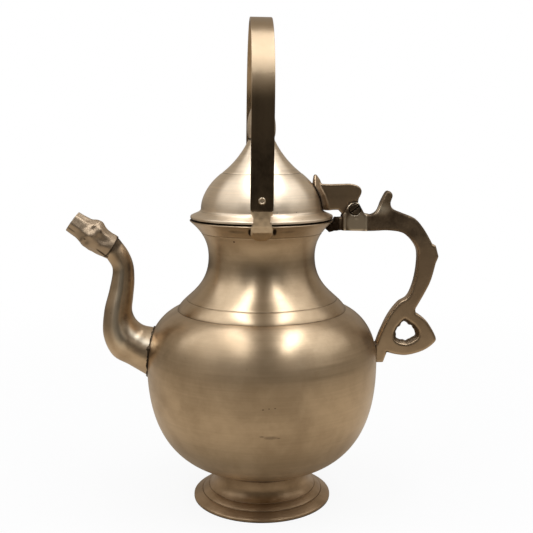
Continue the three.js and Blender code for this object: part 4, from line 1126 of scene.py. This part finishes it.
def bail_piece():
    """A strap carried along a path: up one leg, round half a circle and down the other leg. A point is
    the path's centre plus the section's width along X and its thickness along the path's normal."""
    centre = BAIL_RADIUS - STRAP_THICKNESS / 2
    end = -6.8
    leg = np.concatenate([end + np.array([0, 0.15, 0.4, 0.8, 1.3, 2.0, 3.0]),
                          np.linspace(-2, BAIL_LEG, 16)[:-1]])
    bend = np.linspace(0, np.pi, 97)
    y = np.concatenate([np.full(len(leg), -centre), -centre * np.cos(bend), np.full(len(leg), centre)])
    z = np.concatenate([leg, BAIL_LEG + centre * np.sin(bend), leg[::-1]])
    normal_y = np.concatenate([np.full(len(leg), -1.0), -np.cos(bend), np.full(len(leg), 1.0)])
    normal_z = np.concatenate([np.zeros(len(leg)), np.sin(bend), np.zeros(len(leg))])
    from_end = np.concatenate([leg, np.full(len(bend), 9.0), leg[::-1]]) - end
    corner = 1.6
    drawn_in = corner - np.sqrt(np.maximum(corner ** 2 - np.maximum(corner - from_end, 0) ** 2, 0))
    section = rounded_section(STRAP_WIDTH, STRAP_THICKNESS, 0.45)
    width = 1 - 2 * drawn_in / STRAP_WIDTH
    x = section[None, :, 0] * width[:, None]
    out = section[None, :, 1]
    rings = np.stack([x, y[:, None] + out * normal_y[:, None], z[:, None] + out * normal_z[:, None]], -1)
    rows, sides = rings.shape[:2]
    points = rings.reshape(-1, 3)
    lean_x = points[:, 0] * math.cos(BAIL_LEAN) + points[:, 2] * math.sin(BAIL_LEAN)
    lean_z = -points[:, 0] * math.sin(BAIL_LEAN) + points[:, 2] * math.cos(BAIL_LEAN)
    points = np.stack([lean_x + BAIL_X, points[:, 1], lean_z + BAIL_PIVOT], 1)
    faces, corner_rows, corner_columns = grid_faces(rows, sides, False, True)
    length = np.concatenate([[0], np.cumsum(np.hypot(np.diff(y), np.diff(z)))])
    uv = np.stack([length[corner_rows] * MM, corner_columns / sides], -1).reshape(-1, 2)
    faces = faces[:, ::-1].tolist() + end_faces(rows, sides)
    uv = uv.reshape(-1, 4, 2)[:, ::-1].reshape(-1, 2)
    uv = np.vstack([uv, np.zeros((2 * sides, 2))])
    pivot = away(points[:, 0], points[:, 2], PIVOT)
    # painted dark reflection: the legs darken towards their lower ends
    low = 0.6 * unit((290 - points[:, 2]) / 40)
    values = {"across": points[:, 0] * MM,
              "grime_and_shade": np.maximum(low, beyond(pivot - 2.4, 0.8) * 0.7)}
    make_piece("bail", points, faces, "bail", ["bail_strap"], strap_brass, 40.0, uv, values)


bail_piece()

LUG_SIDE = [(51.7, 227), (51.7, 203.9), (37.45, 199.3), (37.45, 192.9), (43.85, 192.9), (50.6, 199.4),
            (52.7, 203.6), (53.6, 208.5), (54.1, 214), (54.1, 227)]
LUG_FRONT = [(0, 227), (3.55, 226.5), (5.7, 225.2), (7.1, 222), (7.1, 212), (5.6, 209.3), (5.6, 206.3),
             (7.1, 203.7), (7.1, 197.9), (5.3, 194.7), (2.8, 193.3), (0, 192.9)]
lug_front_outline = np.vstack([LUG_FRONT, [(-x, z) for x, z in LUG_FRONT[-2:0:-1]]])


def lug(name, side, node_name):
    """A bent strip: inside both its side view and its front view, with soft edges."""

    def field(x, y, z):
        profile = outline_distance(side * y, z, np.array(LUG_SIDE))
        face = outline_distance(x - BAIL_X, z, lug_front_outline)
        strip = -soft_union(-profile, -face, 1.0) + 0.08 * ripple(x, y, z, 6.0)
        return np.maximum(strip, -off_body(x, y, z) - 0.5)

    def grime_and_shade(points):
        # painted shade in the gap where the lug meets the body under the rim, with the solder there
        return beyond(off_body(*points.T), 0.45) * (points[:, 2] < RIM_LEVEL) * 0.7

    low_y, high_y = sorted((side * 35.5, side * 56))
    cast(name, field, (BAIL_X - 8.5, low_y, 191.5), (BAIL_X + 8.5, high_y, 228.5), 0.4, "vessel",
         node_name, cast_brass, {"grime_and_shade": grime_and_shade})


def rivet(name, side, node_name):
    """Peened rivet, turned about a line along Y: a shank, and a head with a raised rim at each end."""
    out, back = 57.3, 51.4
    head = [(0, out + 0.25), (1.2, out + 0.3), (1.6, out + 0.6), (2.0, out + 0.6), (2.3, out + 0.3),
            (2.3, out), (1.6, out), (1.6, back), (2.3, back), (2.3, back - 0.4), (1.8, back - 0.6),
            (0, back - 0.6)]
    ring = np.array(head[1:-1], float)
    sides = 40
    angle = turns(sides)
    grid = np.stack([BAIL_X + np.outer(ring[:, 0], np.cos(angle)), np.repeat(side * ring[:, 1:], sides, 1),
                     BAIL_PIVOT + np.outer(ring[:, 0], np.sin(angle))], -1)
    points = grid.reshape(-1, 3)
    faces = grid_faces(len(ring), sides, False, True)[0][:, ::side].tolist()
    faces += [face[::-side] for face in end_faces(len(ring), sides)]
    grime_and_shade = bell(away(points[:, 0], points[:, 2], PIVOT) - 1.3, 0.3) * 0.6
    make_piece(name, points, faces, "vessel", [node_name], cast_brass, 35.0, None,
               {"grime_and_shade": grime_and_shade, "across": points[:, 0] * MM})


for place, side in (("front", -1), ("rear", 1)):
    lug(f"lug_{place}", side, f"bail_lug_{place}")
    rivet(f"rivet_{place}", side, f"bail_rivet_{place}")


# Floor, light and camera

CAMERA_AT = (-26.67, -594.4, 264.0)
CAMERA_TILT = 80.98
CAMERA_TURN = -2.9
CAMERA_LENS = 57.41
TARGET = (0, 0, 0.15)
STRIP_Y = -0.47
STRIP_HEIGHT = 1.4
LAMP_COLOUR = (0.95, 1.0, 1.08)
ROOM_COLOUR = (1.0, 0.9, 0.77, 1)
WHITE = (1, 1, 1, 1)


def floor_piece():
    """A pale floor. It is white to the camera but for the shadow, and paler near the object. In the metal
    it is a warm glow, dimmed near the object by a painted shadow and fading far off.
    """
    mesh = bpy.data.meshes.new("floor")
    reach = 6.0
    mesh.from_pydata([(-reach, -reach, 0), (reach, -reach, 0), (reach, reach, 0), (-reach, reach, 0)], [],
                     [(0, 1, 2, 3)])
    floor = placed("floor", mesh)
    made = bpy.data.materials.new("pale_floor")
    made.use_nodes = True
    tree = made.node_tree
    tree.nodes.remove(tree.nodes["Principled BSDF"])
    g = Graph(tree)
    distance = g.length(g.place())
    # the glow seen in the metal: a painted shadow near the object, fading far off
    near = g.span(distance, 0.07, 0.18, 0.36, 0.7)
    far = g.span(distance, 0.24, 0.62, 1.0, 0.62)
    edge = g.span(distance, 0.6, 1.45, 1.0, 0.02)
    glow_with_painted_shadow = g.times(g.times(near, far), edge)
    shown_white = g.span(distance, 0.2, 0.8, 0.91, 1.0)
    path = g.node("LightPath").outputs
    glossy = g.most(path["Is Glossy Ray"], path["Is Transmission Ray"])

    def shader(kind, inputs):
        return g.node(kind, inputs).outputs[0]

    diffuse = shader("BsdfDiffuse", {"Color": (0.8, 0.8, 0.8, 1)})
    white = shader("Emission", {"Color": WHITE, "Strength": 1.0})
    dark = shader("Emission", {"Color": (0, 0, 0, 1), "Strength": 0.0})
    warm = shader("Emission", {"Color": ROOM_COLOUR, "Strength": 1.0})
    share = g.times(path["Is Camera Ray"], shown_white)
    shown = shader("MixShader", {0: share, 1: diffuse, 2: white})
    in_metal = shader("MixShader", {0: glow_with_painted_shadow, 1: dark, 2: warm})
    both = shader("MixShader", {0: glossy, 1: shown, 2: in_metal})
    g.feed(tree.nodes["Material Output"].inputs, {"Surface": both})
    mesh.materials.append(made)


def studio_world():
    """White behind the object for the camera. In the metal the room is pale behind the object and
    above it, and dark towards the camera near the table's level."""
    world = bpy.data.worlds.new("studio")
    bpy.context.scene.world = world
    world.use_nodes = True
    world.node_tree.nodes.clear()
    g = Graph(world.node_tree)
    way = g.split(g.place())
    front = g.plus(g.span(way["Z"], 0.05, 0.5, 0.015, 0.2), g.span(way["Z"], 0.6, 0.95, 0.0, 0.1))
    front = g.plus(front, g.span(g.math("ABSOLUTE", way["X"]), 0.5, 0.95, 0.0, 0.22))
    room = g.blend(g.span(way["Y"], -0.2, 0.6), front, 0.4)
    camera = g.node("LightPath").outputs["Is Camera Ray"]
    background = g.node("Background", {"Color": g.mix(camera, ROOM_COLOUR, WHITE),
                                       "Strength": g.blend(camera, room, 1.0)})
    g.node("OutputWorld", {"Surface": background.outputs[0]})


def panel(name, centre, aim, width, length, radiance, roll=0.0):
    """A soft box: a rectangular lamp that faces a point, of a plain brightness."""
    lamp = bpy.data.lights.new(name, "AREA")
    lamp.shape = "RECTANGLE"
    lamp.size = width
    lamp.size_y = length
    lamp.energy = radiance * width * length * math.pi
    lamp.color = LAMP_COLOUR
    made = placed(name, lamp)
    turn = (Vector(aim) - Vector(centre)).to_track_quat("-Z", "Y").to_matrix().to_4x4()
    made.matrix_world = Matrix.Translation(Vector(centre)) @ turn @ Matrix.Rotation(roll, 4, "Z")


def around(azimuth, elevation, distance):
    """The point at a distance from the target, with the azimuth from the front towards the right."""
    a, e = math.radians(azimuth), math.radians(elevation)
    return (TARGET[0] + distance * math.cos(e) * math.sin(a),
            TARGET[1] - distance * math.cos(e) * math.cos(a), TARGET[2] + distance * math.sin(e))


floor_piece()
studio_world()
for name, x, roll in (("strip_left", -0.44, -0.1), ("strip_right", 0.52, 0.12)):
    panel(name, (x, STRIP_Y, STRIP_HEIGHT), (x, STRIP_Y, 0), 0.26, 1.7, 5.0, roll)
for name, azimuth, radiance in (("wide_box_left", -78, 1.3), ("wide_box_right", 80, 1.25)):
    panel(name, around(azimuth, 52, 1.35), TARGET, 1.3, 1.3, radiance)

camera_data = bpy.data.cameras.new("camera")
camera_data.lens = CAMERA_LENS
camera_data.sensor_width = 36.0
camera = placed("camera", camera_data)
camera.location = (CAMERA_AT[0] * MM + AXIS_X, CAMERA_AT[1] * MM, CAMERA_AT[2] * MM)
camera.rotation_euler = (math.radians(CAMERA_TILT), 0, math.radians(CAMERA_TURN))
bpy.context.scene.camera = camera
bpy.context.scene.view_settings.view_transform = "Standard"
